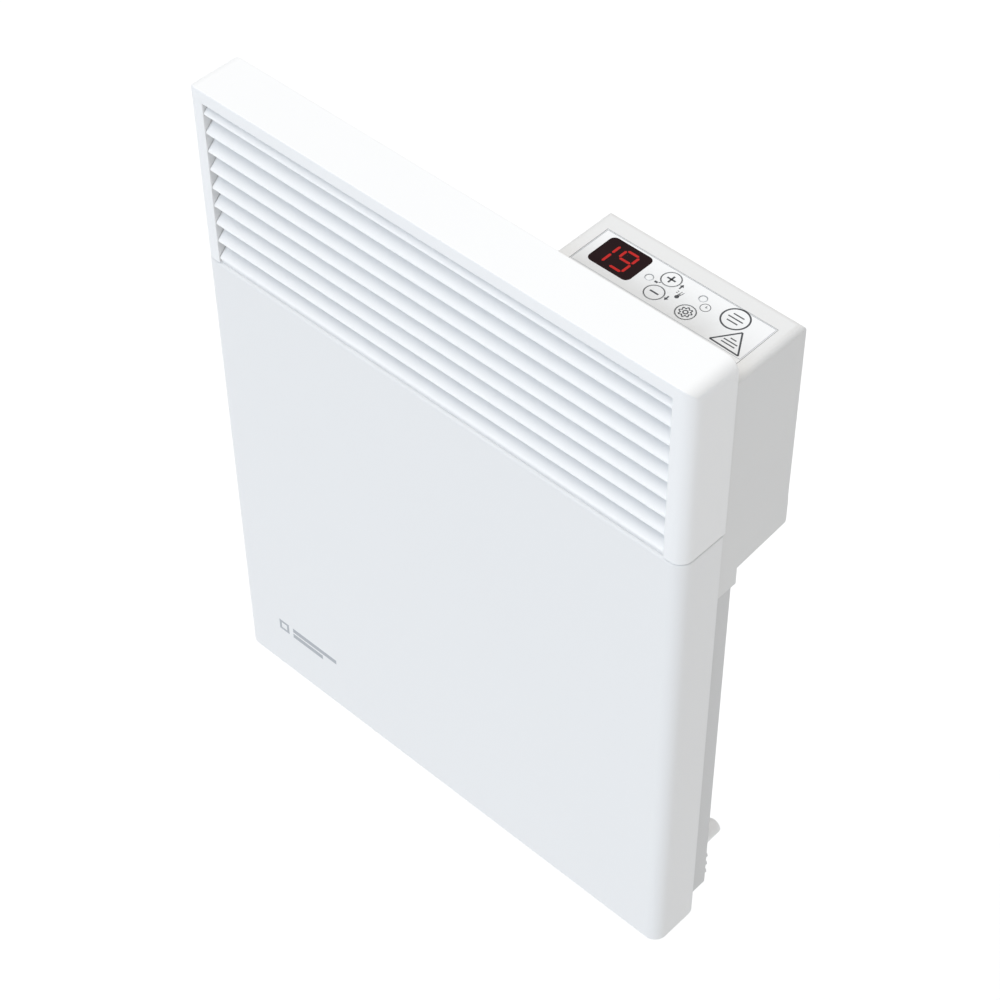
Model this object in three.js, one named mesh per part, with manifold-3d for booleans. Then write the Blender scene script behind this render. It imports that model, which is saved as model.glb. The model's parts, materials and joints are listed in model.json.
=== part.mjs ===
// Wall-mounted panel convector heater with a control housing behind its upper right corner.
// Millimetres, +Z up. The heater is laid out with X across its width, Y from its front face towards the wall,
// and Z up from its bottom edge. The exported group moves it so that the origin lies on the wall, behind the
// upper bar of the wall bracket.

import * as THREE from "three";
import { mergeVertices } from "three/addons/utils/BufferGeometryUtils.js";
import Module from "manifold-3d";

const wasm = await Module();
wasm.setup();

// ---------------------------------------------------------------- driving dimensions

// Overall
const WIDTH = 340;
const HEIGHT = 440;
const DEPTH = 87.5; // front face to wall
const CORNER = 8; // outer corner radius of the front
const GAP = 0.3; // between pieces that touch
const RUNNING = 0.3; // radial clearance of pins, shanks and keys in their holes
const ARC_STEPS = 6; // facets in a quarter turn of an outer corner

// Front
const PANEL_DEPTH = 31;
const HOOD_DEPTH = 32.8;
const SHEET = 1.2; // steel of the panel and the casing
const MOULDING = 2.5; // wall of the moulded hood and housing
const SEAM_GAP = 0.6;
const LUG_SETBACK = 50; // side edge to a lug's centre
const LUG_WIDTH = 20;
const LUG_DEPTH = 16;
const LUG_SCREW_DEPTH = 11;

// Outlet grille
const BLADE_COUNT = 9;
const BLADE_PITCH = 12.26;
const BLADE_THICKNESS = 1.6;
const BLADE_SETBACK = 0.6; // front face to a blade's tip
const BLADE_REACH = 11.4; // tip to rear edge, along Y
const BLADE_RISE = 12.6; // tip to rear edge, along Z
const OPENING_SIDE = 12.25;
const OPENING_TOP = 8.2;
const FIRST_TIP = 7.6; // opening's upper edge to the top blade's tip
const LAST_TIP = 2.5; // seam to the bottom blade's tip
const REVEAL_DEPTH = 14;
const REVEAL_WALL = 2.2;
const LAP_HEIGHT = 9; // how far the hood's rail reaches down behind the panel
const RIB_COUNT = 4;
const RIB_WIDTH = 2;
const RIB_DEPTH = 3.5;

// Casing
const CASING_REAR = 42.8;
const CASING_FRONT = 16;
const CASING_BOTTOM = 17;
const CASING_TOP_DROP = 16;
const CASING_INSET = 1.2; // side of the cover to the side of the casing
const JOGGLE = 2; // how far the casing steps in where it enters the cover
const SLOT_PITCH = 10;
const SLOT_WIDTH = 5;
const SLOT_START = 19;
const SLOT_END = 38;
const LOUVRE_COUNT = 3;
const LOUVRE_PITCH = 7.6;
const LOUVRE_BASE = 25.2;
const LOUVRE_HEIGHT = 4.8;
const LOUVRE_PROUD = 1.4;
const LOUVRE_SLIT = 1.5;
const LOUVRE_BRIDGES = 5;
const BRIDGE_WIDTH = 12;

// Control housing
const HOUSING_WIDTH = 122.8;
const HOUSING_INSET = 0.7;
const HOUSING_HEIGHT = 140.2;
const HOUSING_DROP = 13; // top of the hood to the top of the housing
const HOUSING_EDGE = 4;
const HOUSING_FALL = 3.6; // how much the underside rises towards the wall
const SKIRT_DEPTH = 3.2; // how far the skirt stands behind the casing
const SKIRT_HEIGHT = 11.8;
const WALL_CLEARANCE = 0.2;
const LIP_PROUD = 3;
const LIP_HEIGHT = 20;

// Control label, measured from its left and rear edges
const LABEL_LEFT = 9.1;
const LABEL_RIGHT = 7.7;
const LABEL_REAR = 12.3;
const LABEL_FRONT = 4.2;
const LABEL_THICKNESS = 0.5;
const WINDOW = { left: 6.2, right: 31.2, rear: 2.4, front: 22.2 };
const WINDOW_CORNER = 2.5;
const PLUS_KEY = { across: 46.5, back: 6.9 };
const MINUS_KEY = { across: 46.3, back: 19.4 };
const MODE_KEY = { across: 66.2, back: 19.9 };
const HEAT_LIGHT = { across: 37.6, back: 12.8 };
const TIMER_LIGHT = { across: 66.4, back: 7.1 };
const KEY_RADIUS = 5.2;
const KEY_FLANGE = 5.9;
const KEY_STEM = 2;
const KEY_FLANGE_THICKNESS = 1;
const KEY_TRAVEL = 0.5;
const KEY_SLACK = 0.1; // stem to plunger when the key is pressed home
const WINDOW_FLANGE = { width: 1.2, thickness: 2 };
const LIGHT_SLACK = 0.1;
const LIGHT_RADIUS = 2.1;

// Electronics
const BOARD = 1.6;
const BOARD_DROP = 15.5; // top of the housing to the top of the control board
const BOARD_MARGIN = 5;
const SWITCH_SIZE = 6;
const SWITCH_HEIGHT = 3.5;
const PLUNGER_RADIUS = 1.7;
const PLUNGER_HEIGHT = 1;
const POWER_BOARD_SETBACK = 10.3; // rear of the housing to the rear of the power board
const POWER_BOARD_MARGIN = { left: 14, right: 12.8, floor: 6, top: 19 }; // to the housing and the control board
const POWER_BOARD_POST = { side: 6, end: 8 };
const RELAY = { left: 8, bottom: 30, width: 19, height: 15.5, depth: 15.5 };
const TRANSFORMER = { right: 12, bottom: 40, width: 32, height: 27, depth: 22 };
const TERMINAL_BLOCK = { right: 26, bottom: 2, width: 36, height: 12, depth: 12 };
const CAPACITOR = { left: 18, bottom: 58, radius: 5, length: 20 };
const RIBBON = { left: 30, width: 20, thickness: 0.8, bend: 6, landing: 6 };
const DISPLAY_CLEARANCE = 2.8; // housing's ceiling to the display
const CABLE_HOLE = { setback: 68, width: 28, height: 14, rise: 13 };

// Heating group
const ELEMENT_HEIGHT = 78; // bottom edge to the element's axis
const ELEMENT_DEPTH = 19.5; // front face to the element's axis
const ELEMENT_END = 45; // side edge to the end of the finned length
const ELEMENT_CORE = 6;
const ARM_REACH = { depth: 11, height: 26 };
const ARM_HALF = 0.9;
const CROSS_FIN = 3;
const STEM_RADIUS = 4;
const STEM_LENGTH = 12;
const INSULATOR_RADIUS = 7;
const INSULATOR_COLLAR = 9;
const HANGER_SETBACK = 37.2; // side edge to the hanger's plate
const HANGER_SHEET = 1.5;
const HANGER_FRONT = 8;
const HANGER_HALF = 18;
const HANGER_FOOT = 14;
const SLEEVE_LENGTH = 6; // insulator beyond its hanger
const TERMINAL = { radius: 2.2, length: 13, width: 6.3, thickness: 0.8, root: 4 };
const SHIELD_FRONT = 33;
const SHIELD_SHEET = 1;
const SHIELD_BOTTOM = 45;
const SHIELD_TOP = 165;
const CUTOUT_HEIGHT = 128;
const CUTOUT_RADIUS = 8.5;
const CUTOUT_DEPTH = 9;
const CUTOUT_EARS = { length: 32, width: 8, thickness: 1 };
const CUTOUT_BLADE = { offset: 4, width: 4.8, thickness: 0.8, low: 6, high: 16 };
const DEFLECTOR_SETBACK = 20;
const DEFLECTOR_LENGTH = 60;
const DEFLECTOR_CURVE = 26;
const PROBE_RADIUS = 2.5;
const PROBE_LENGTH = 24;
const PROBE_SETBACK = 34;
const PROBE_HEIGHT = 34;
const PROBE_DEPTH = 28.5;
const CLIP = { width: 8, height: 10, grip: 5 };
const LEAD_RADIUS = 1.4;
const LEAD_ABOVE_SHIELD = 22;
const LEAD_BELOW_POCKET = 32; // where the leads start to come forward

// Cable gland
const GLAND_SETBACK = 9; // side edge to the gland's axis
const GLAND_HEIGHT = 49.4;
const GLAND_RADIUS = 5;
const GLAND_COLLAR = 6.4;
const GLAND_REACH = 15.8;
const GLAND_BORE = 3.6;
const GLAND_ROOT = 5;
const GLAND_COLLAR_LENGTH = 2;
const GLAND_CHAMFER = 0.6;
const NUT_RADIUS = 6.9;
const NUT_THICKNESS = 3;

// Screws
const SHANK = 1.5;
const HEAD = 3;
const HEAD_HEIGHT = 2;
const BOSS = 3.2;
const HOOD_SCREW = { length: 20, side: 8, seam: 22, top: 27 };
const PANEL_SCREW_LENGTH = 8;
const HOUSING_SCREW = { length: 9, left: 5.2, right: 8.3, floor: 4, top: 9, boss: 10 };
const BOARD_SCREW = { length: 8, left: 45.5, right: 19, front: 10, rear: 13 };
const EARTH_SCREW = { height: 3, side: 62, aboveShield: 20 };

// Wall bracket
const BRACKET_SHEET = 2;
const BRACKET_DROP = 100; // top of the hood to the upper bar's centre
const HOOK_HEIGHT = 120; // bottom edge to the hooks' centre
const RAIL_WIDTH = 22;
const RAIL_MARGIN = 44; // left side of the heater to the left rail
const RAIL_CLEARANCE = 10; // right rail to the control housing
const RAIL_OVERHANG = 20;
const RAIL_FLANGE = 10;
const BAR_HEIGHT = 24;
const WALL_SLOT = { width: 7, length: 16, flat: 0.1, inset: 30 };
const ARM_HEIGHT = 16;
const HOOK_RISE = 8;
const HOOK_THICKNESS = 2.6;
const TAB_WIDTH = 18;
const TAB_HEIGHT = 18;
const LATCH_PIN = 2.5;
const LATCH_BAR = { length: 12, width: 4.4, thickness: 1.5 };
const LATCH_LEVER = { length: 14, width: 6, thickness: 3 };

// ---------------------------------------------------------------- places worked out from them

const HALF = WIDTH / 2;
const SIDES = { left: -1, right: 1 };
const OPENING_EDGE = HEIGHT - OPENING_TOP;
const TOP_TIP = OPENING_EDGE - FIRST_TIP;
const BOTTOM_TIP = TOP_TIP - (BLADE_COUNT - 1) * BLADE_PITCH;
const SEAM = BOTTOM_TIP - LAST_TIP;
const OPENING_HALF = HALF - OPENING_SIDE;
const PANEL_TOP = SEAM - SEAM_GAP / 2;
const HOOD_BOTTOM = SEAM + SEAM_GAP / 2;

const CASING_TOP = HEIGHT - CASING_TOP_DROP;
const CASING_HALF = HALF - CASING_INSET;
const NARROW_HALF = CASING_HALF - JOGGLE;
const SHOULDER = HOOD_DEPTH + 0.5; // where the casing widens behind the hood
const PANEL_SHOULDER = PANEL_DEPTH + GAP; // and behind the front panel
const CASING_INSIDE = CASING_REAR - SHEET;

const HOUSING_RIGHT = HALF - HOUSING_INSET;
const HOUSING_LEFT = HOUSING_RIGHT - HOUSING_WIDTH;
const HOUSING_TOP = HEIGHT - HOUSING_DROP;
const HOUSING_BOTTOM = HOUSING_TOP - HOUSING_HEIGHT;
const SKIRT_BOTTOM = HOUSING_BOTTOM - SKIRT_HEIGHT;
const HOUSING_FRONT = SHOULDER;
const HOUSING_LIP = DEPTH - WALL_CLEARANCE;
const HOUSING_REAR = HOUSING_LIP - LIP_PROUD;
const HOUSING_CEILING = HOUSING_TOP - MOULDING;
const HOUSING_FLOOR = HOUSING_BOTTOM + MOULDING + HOUSING_FALL;

const POCKET_GAP = 0.6;
const POCKET_LEFT = HOUSING_LEFT - POCKET_GAP;
const POCKET_BOTTOM = SKIRT_BOTTOM - POCKET_GAP;
const POCKET_FACE = HOUSING_FRONT - GAP;
const POCKET_INSIDE = POCKET_FACE - SHEET;

const LABEL_X = [HOUSING_LEFT + LABEL_LEFT, HOUSING_RIGHT - LABEL_RIGHT];
const LABEL_Y = [HOUSING_FRONT + LABEL_FRONT, HOUSING_REAR - LABEL_REAR];
const RECESS_FLOOR = HOUSING_TOP - LABEL_THICKNESS - GAP;
const BOARD_TOP = HOUSING_TOP - BOARD_DROP;
const BOARD_BOTTOM = BOARD_TOP - BOARD;
const POWER_BOARD_REAR = HOUSING_REAR - POWER_BOARD_SETBACK;
const POWER_BOARD_FRONT = POWER_BOARD_REAR - BOARD;
const POWER_BOARD_LEFT = HOUSING_LEFT + POWER_BOARD_MARGIN.left;
const POWER_BOARD_RIGHT = HOUSING_RIGHT - POWER_BOARD_MARGIN.right;
const POWER_BOARD_BOTTOM = HOUSING_FLOOR + POWER_BOARD_MARGIN.floor;
const POWER_BOARD_TOP = BOARD_BOTTOM - POWER_BOARD_MARGIN.top;

const HOOD_SCREW_X = HALF - HOOD_SCREW.side;
const HOOD_SCREW_Z = [SEAM + HOOD_SCREW.seam, HOUSING_TOP - HOOD_SCREW.top];
const HOUSING_SCREW_X = [HOUSING_LEFT + HOUSING_SCREW.left, HOUSING_RIGHT - HOUSING_SCREW.right];
const HOUSING_SCREW_Z = [HOUSING_FLOOR + HOUSING_SCREW.floor, HOUSING_TOP - HOUSING_SCREW.top];

const ARM_Z = HEIGHT - BRACKET_DROP;
const BRACKET_FACE = DEPTH - BRACKET_SHEET;
const LEFT_RAIL = -HALF + RAIL_MARGIN;
const RIGHT_RAIL = HOUSING_LEFT - RAIL_CLEARANCE - RAIL_WIDTH;
const RAIL_STARTS = { left: LEFT_RAIL, right: RIGHT_RAIL };
const TAB_FRONT = CASING_REAR + 0.5;
const LATCH_OFFSET = BRACKET_SHEET + TAB_WIDTH / 2;

// ---------------------------------------------------------------- finishes

const FINISHES = {
  coatedSteel: { color: 0xe9ecf0, roughness: 0.42, metalness: 0 },
  whiteMoulding: { color: 0xf4f4f2, roughness: 0.4, metalness: 0 },
  label: { color: 0xd9dbde, roughness: 0.35, metalness: 0.1 },
  darkWindow: { color: 0x2a1b1d, roughness: 0.12, metalness: 0 },
  blackPlastic: { color: 0x1c1c1e, roughness: 0.5, metalness: 0 },
  clearLight: { color: 0xdfe3e6, roughness: 0.2, metalness: 0 },
  circuitBoard: { color: 0x2f6a44, roughness: 0.55, metalness: 0 },
  bluePlastic: { color: 0x2f5f9c, roughness: 0.5, metalness: 0 },
  yellowTape: { color: 0xd9b84a, roughness: 0.6, metalness: 0 },
  greyPlastic: { color: 0x9a9da0, roughness: 0.5, metalness: 0 },
  aluminium: { color: 0xb9bcc0, roughness: 0.4, metalness: 1 },
  plainSteel: { color: 0xa3a6aa, roughness: 0.35, metalness: 1 },
  galvanisedSteel: { color: 0xb2b6b8, roughness: 0.45, metalness: 1 },
  ceramic: { color: 0xeae6dc, roughness: 0.6, metalness: 0 },
  silicone: { color: 0xe4e2de, roughness: 0.65, metalness: 0 },
};

// ---------------------------------------------------------------- solids

const UNIT_X = new THREE.Vector3(1, 0, 0);
const UNIT_Y = new THREE.Vector3(0, 1, 0);
const UNIT_Z = new THREE.Vector3(0, 0, 1);
const QUARTER = Math.PI / 2;
const ROD_SIDES = 16;
const KEY_SIDES = 20;
const SCREW_SIDES = 8;
const PAST = 1; // how far a cutter runs past the face that it cuts

// A closed geometry as a solid for cutting and joining.
function solidFrom(geometry) {
  const plain = geometry.index ? geometry.toNonIndexed() : geometry.clone();
  plain.deleteAttribute("normal");
  plain.deleteAttribute("uv");
  const merged = mergeVertices(plain, 1e-4);
  return new wasm.Manifold(
    new wasm.Mesh({
      numProp: 3,
      vertProperties: merged.attributes.position.array,
      triVerts: new Uint32Array(merged.index.array),
    }),
  );
}

function geometryFrom(solid) {
  const mesh = solid.getMesh();
  const geometry = new THREE.BufferGeometry();
  geometry.setAttribute("position", new THREE.BufferAttribute(mesh.vertProperties.slice(), 3));
  geometry.setIndex(new THREE.BufferAttribute(mesh.triVerts.slice(), 1));
  geometry.computeVertexNormals();
  return geometry;
}

const join = (solids) => solids.reduce((whole, solid) => whole.add(solid));
const cut = (solid, cutters) => cutters.reduce((rest, cutter) => rest.subtract(cutter), solid);
const span = (centre, size) => [centre - size / 2, centre + size / 2];

// A block from its low and high limits along each axis.
function block(x, y, z) {
  const geometry = new THREE.BoxGeometry(x[1] - x[0], y[1] - y[0], z[1] - z[0]);
  geometry.translate((x[0] + x[1]) / 2, (y[0] + y[1]) / 2, (z[0] + z[1]) / 2);
  return solidFrom(geometry);
}

// An outline pushed along an axis. Along X it is drawn in (y, z), along Y in (x, z), along Z in (x, y).
function prism(shape, axis, from, to, steps = ARC_STEPS) {
  const geometry = new THREE.ExtrudeGeometry(shape, {
    depth: to - from,
    bevelEnabled: false,
    curveSegments: steps,
  });
  const turn = new THREE.Matrix4();
  if (axis === "X") {
    turn.makeBasis(UNIT_Y, UNIT_Z, UNIT_X);
    geometry.applyMatrix4(turn).translate(from, 0, 0);
  } else if (axis === "Y") {
    turn.makeBasis(UNIT_X, UNIT_Z, UNIT_Y.clone().negate());
    geometry.applyMatrix4(turn).translate(0, to, 0);
  } else {
    geometry.translate(0, 0, from);
  }
  return solidFrom(geometry);
}

// A round rod that starts at a point and runs along an axis.
function rod(axis, start, radius, length, sides = ROD_SIDES) {
  const geometry = new THREE.CylinderGeometry(radius, radius, length, sides);
  geometry.translate(0, length / 2, 0);
  if (axis === "X") geometry.rotateZ(-QUARTER);
  if (axis === "Z") geometry.rotateX(QUARTER);
  geometry.translate(...start);
  return solidFrom(geometry);
}

// A rectangle with a radius at each corner, in the order low left, low right, high right, high left.
function outline(x, y, radii) {
  const shape = new THREE.Shape();
  const corners = [
    [x[0], y[0], 1, 1],
    [x[1], y[0], -1, 1],
    [x[1], y[1], -1, -1],
    [x[0], y[1], 1, -1],
  ];
  corners.forEach(([cornerX, cornerY, inX, inY], i) => {
    const radius = radii[i];
    const start = (i + 2) * QUARTER;
    if (radius > 0) {
      const centreX = cornerX + inX * radius;
      const centreY = cornerY + inY * radius;
      shape.absarc(centreX, centreY, radius, start, start + QUARTER, false);
    } else if (i === 0) {
      shape.moveTo(cornerX, cornerY);
    } else {
      shape.lineTo(cornerX, cornerY);
    }
  });
  shape.closePath();
  return shape;
}

function polygon(points) {
  const shape = new THREE.Shape();
  points.forEach(([a, b], i) => (i ? shape.lineTo(a, b) : shape.moveTo(a, b)));
  shape.closePath();
  return shape;
}

// A solid of revolution about Y, from (radius, height) points that start and end on the axis.
function turned(points, sides) {
  const profile = points.map(([radius, height]) => new THREE.Vector2(radius, height));
  return new THREE.LatheGeometry(profile, sides);
}

// A pan-head screw along Y: its tip at 0, its head at the +Y end.
function screwGeometry(shankLength) {
  const profile = [
    [0, 0],
    [SHANK, 0],
    [SHANK, shankLength],
    [HEAD, shankLength],
    [HEAD * 0.7, shankLength + HEAD_HEIGHT],
    [0, shankLength + HEAD_HEIGHT],
  ];
  return turned(profile, SCREW_SIDES);
}

// A round wire along a smooth curve through its points.
function wireGeometry(points, radius, steps) {
  const section = new THREE.Shape();
  section.absarc(0, 0, radius, 0, 2 * Math.PI, false);
  const path = new THREE.CatmullRomCurve3(points.map((point) => new THREE.Vector3(...point)));
  return new THREE.ExtrudeGeometry(section, {
    extrudePath: path,
    steps,
    curveSegments: 4,
    bevelEnabled: false,
  });
}

// A named mesh in its group. The shape is a solid or a closed geometry.
function place(group, name, finish, shape, position = [0, 0, 0], turn = [0, 0, 0]) {
  const geometry = shape.isBufferGeometry ? shape : geometryFrom(shape);
  const mesh = new THREE.Mesh(geometry, new THREE.MeshStandardMaterial(FINISHES[finish]));
  mesh.name = name;
  mesh.position.set(...position);
  mesh.rotation.set(...turn);
  group.add(mesh);
}

// ---------------------------------------------------------------- front

// The outline of a channel that is open towards the wall, with rounded front corners.
function channel(depth, wall) {
  const inner = CORNER - wall;
  const left = -HALF + CORNER;
  const right = HALF - CORNER;
  const shape = new THREE.Shape();
  shape.moveTo(-HALF, depth);
  shape.absarc(left, CORNER, CORNER, 2 * QUARTER, 3 * QUARTER, false);
  shape.absarc(right, CORNER, CORNER, 3 * QUARTER, 4 * QUARTER, false);
  shape.lineTo(HALF, depth);
  shape.lineTo(HALF - wall, depth);
  shape.absarc(right, CORNER, inner, 4 * QUARTER, 3 * QUARTER, true);
  shape.absarc(left, CORNER, inner, 3 * QUARTER, 2 * QUARTER, true);
  shape.lineTo(-HALF + wall, depth);
  shape.closePath();
  return shape;
}

const LUG_TOP = CASING_BOTTOM - GAP;
const LUG_BOTTOM = LUG_TOP - SHEET;
const LUG_X = HALF - LUG_SETBACK;

function frontPanel() {
  const skin = prism(channel(PANEL_DEPTH, SHEET), "Z", 0, PANEL_TOP);
  const lugs = Object.values(SIDES).map((side) =>
    block(span(side * LUG_X, LUG_WIDTH), [SHEET / 2, LUG_DEPTH], [LUG_BOTTOM, LUG_TOP]),
  );
  const holes = Object.values(SIDES).map((side) =>
    rod("Z", [side * LUG_X, LUG_SCREW_DEPTH, LUG_BOTTOM - PAST], SHANK + RUNNING, SHEET + 2 * PAST),
  );
  return cut(join([skin, ...lugs]), holes);
}

// The hood's outside, or its inside when it is set in by the wall.
function hoodBlock(inset, past) {
  const radius = CORNER - inset;
  const x = [-HALF + inset, HALF - inset];
  const y = [inset, HOOD_DEPTH + past];
  const z = [HOOD_BOTTOM - past, HEIGHT - inset];
  const plan = prism(outline(x, y, [radius, radius, 0, 0]), "Z", ...z);
  const side = prism(outline(y, z, [0, 0, 0, radius]), "X", ...x);
  const front = prism(outline(x, z, [0, 0, radius, radius]), "Y", ...y);
  return plan.intersect(side).intersect(front);
}

// Where the hood's screws are driven: against the casing on the left, against its pocket on the right.
function hoodSeat(side) {
  return side < 0 ? CASING_INSIDE : POCKET_INSIDE;
}

function hood() {
  const shell = hoodBlock(0, 0).subtract(hoodBlock(MOULDING, PAST));
  const opening = block(
    [-OPENING_HALF, OPENING_HALF],
    [-PAST, MOULDING + PAST],
    [HOOD_BOTTOM - PAST, OPENING_EDGE],
  );
  const outerReveal = OPENING_HALF + REVEAL_WALL;
  const reveals = Object.values(SIDES).map((side) =>
    block(
      span((side * (OPENING_HALF + outerReveal)) / 2, REVEAL_WALL),
      [MOULDING / 2, REVEAL_DEPTH],
      [HOOD_BOTTOM, HEIGHT - MOULDING / 2],
    ).intersect(hoodBlock(0, 0)),
  );
  const lap = block(
    [-outerReveal, outerReveal],
    [SHEET + 2 * GAP, SHEET + 2 * GAP + REVEAL_WALL],
    [SEAM - LAP_HEIGHT, BOTTOM_TIP - GAP],
  );
  const bosses = [];
  const pilots = [];
  for (const side of Object.values(SIDES)) {
    const end = hoodSeat(side) - GAP;
    for (const z of HOOD_SCREW_Z) {
      bosses.push(rod("Y", [side * HOOD_SCREW_X, MOULDING / 2, z], BOSS, end - MOULDING / 2, SCREW_SIDES));
      pilots.push(rod("Y", [side * HOOD_SCREW_X, MOULDING, z], SHANK + RUNNING, end, SCREW_SIDES));
    }
  }
  return cut(join([cut(shell, [opening]), ...reveals, lap, ...bosses]), pilots);
}

// One blade's section in (y, z): its tip at the origin, sloping up towards the wall.
function bladeOutline(tipZ) {
  const tip = BLADE_SETBACK;
  const rear = tip + BLADE_REACH;
  return polygon([
    [tip, tipZ],
    [rear, tipZ + BLADE_RISE - BLADE_THICKNESS],
    [rear, tipZ + BLADE_RISE],
    [tip, tipZ + BLADE_THICKNESS],
  ]);
}

function outletGrille() {
  const end = OPENING_HALF - GAP;
  const blades = Array.from({ length: BLADE_COUNT }, (_, i) =>
    prism(bladeOutline(BOTTOM_TIP + i * BLADE_PITCH), "X", -end, end),
  );
  const rear = BLADE_SETBACK + BLADE_REACH;
  const outerRib = end - RIB_WIDTH;
  const ribs = Array.from({ length: RIB_COUNT }, (_, i) => {
    const x = -outerRib + (2 * outerRib * i) / (RIB_COUNT - 1);
    const z = [BOTTOM_TIP + BLADE_RISE - 2 * BLADE_THICKNESS, TOP_TIP + BLADE_RISE - BLADE_THICKNESS];
    return block(span(x, RIB_WIDTH), [rear - RIB_DEPTH, rear], z);
  });
  return join([...blades, ...ribs]);
}

// ---------------------------------------------------------------- casing

function casingShell() {
  const z = [CASING_BOTTOM, CASING_TOP];
  const inside = [CASING_BOTTOM + SHEET, CASING_TOP - SHEET];
  const outer = join([
    block([-CASING_HALF, CASING_HALF], [SHOULDER, CASING_REAR], z),
    block([-CASING_HALF, 0], [PANEL_SHOULDER, CASING_REAR], [CASING_BOTTOM, PANEL_TOP - GAP]),
    block([-PAST, CASING_HALF], [PANEL_SHOULDER, CASING_REAR], [CASING_BOTTOM, SKIRT_BOTTOM - GAP]),
    block([-NARROW_HALF, NARROW_HALF], [CASING_FRONT, SHOULDER + SHEET], z),
  ]);
  const inner = join([
    block([-CASING_HALF + SHEET, CASING_HALF - SHEET], [SHOULDER + SHEET, CASING_INSIDE], inside),
    block(
      [-CASING_HALF + SHEET, 0],
      [PANEL_SHOULDER + SHEET, CASING_INSIDE],
      [CASING_BOTTOM + SHEET, PANEL_TOP - GAP - SHEET],
    ),
    block(
      [-PAST, CASING_HALF - SHEET],
      [PANEL_SHOULDER + SHEET, CASING_INSIDE],
      [CASING_BOTTOM + SHEET, SKIRT_BOTTOM - GAP - SHEET],
    ),
    block([-NARROW_HALF + SHEET, NARROW_HALF - SHEET], [CASING_FRONT - PAST, CASING_INSIDE], inside),
  ]);
  const beyond = HALF + PAST;
  const pocketWalls = block(
    [POCKET_LEFT - SHEET, beyond],
    [POCKET_INSIDE, CASING_REAR + PAST],
    [POCKET_BOTTOM - SHEET, HEIGHT],
  );
  const pocket = block([POCKET_LEFT, beyond], [POCKET_FACE, CASING_REAR + PAST], [POCKET_BOTTOM, HEIGHT]);
  return outer.subtract(inner).add(outer.intersect(pocketWalls)).subtract(pocket);
}

// Inlet slots punched in the bottom, as many as fit across it.
function inletSlots() {
  const reach = NARROW_HALF - 2 * SLOT_WIDTH;
  const count = 2 * Math.floor(reach / SLOT_PITCH) + 1;
  return Array.from({ length: count }, (_, i) => {
    const x = (i - (count - 1) / 2) * SLOT_PITCH;
    const z = [CASING_BOTTOM - PAST, CASING_BOTTOM + 2 * SHEET];
    return block(span(x, SLOT_WIDTH), [SLOT_START, SLOT_END], z);
  });
}

// Pressed inlet louvres low on the rear: a ridge each, with slits through the wall under it.
function rearLouvres() {
  const ridges = [];
  const slits = [];
  const usable = NARROW_HALF - BRIDGE_WIDTH;
  const cell = (2 * usable) / LOUVRE_BRIDGES;
  for (let i = 0; i < LOUVRE_COUNT; i++) {
    const base = LOUVRE_BASE + i * LOUVRE_PITCH;
    const section = polygon([
      [CASING_REAR - SHEET / 2, base],
      [CASING_REAR + LOUVRE_PROUD, base],
      [CASING_REAR + LOUVRE_PROUD / 2, base + LOUVRE_HEIGHT * 0.7],
      [CASING_REAR - SHEET / 2, base + LOUVRE_HEIGHT],
    ]);
    ridges.push(prism(section, "X", -CASING_HALF, CASING_HALF));
    for (let j = 0; j < LOUVRE_BRIDGES; j++) {
      const centre = -usable + (j + 0.5) * cell;
      const y = [CASING_INSIDE - PAST, CASING_REAR + PAST];
      slits.push(block(span(centre, cell - BRIDGE_WIDTH), y, [base - LOUVRE_SLIT, base]));
    }
  }
  return { ridges, slits };
}

const GLAND_X = HALF - GLAND_SETBACK;

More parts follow.
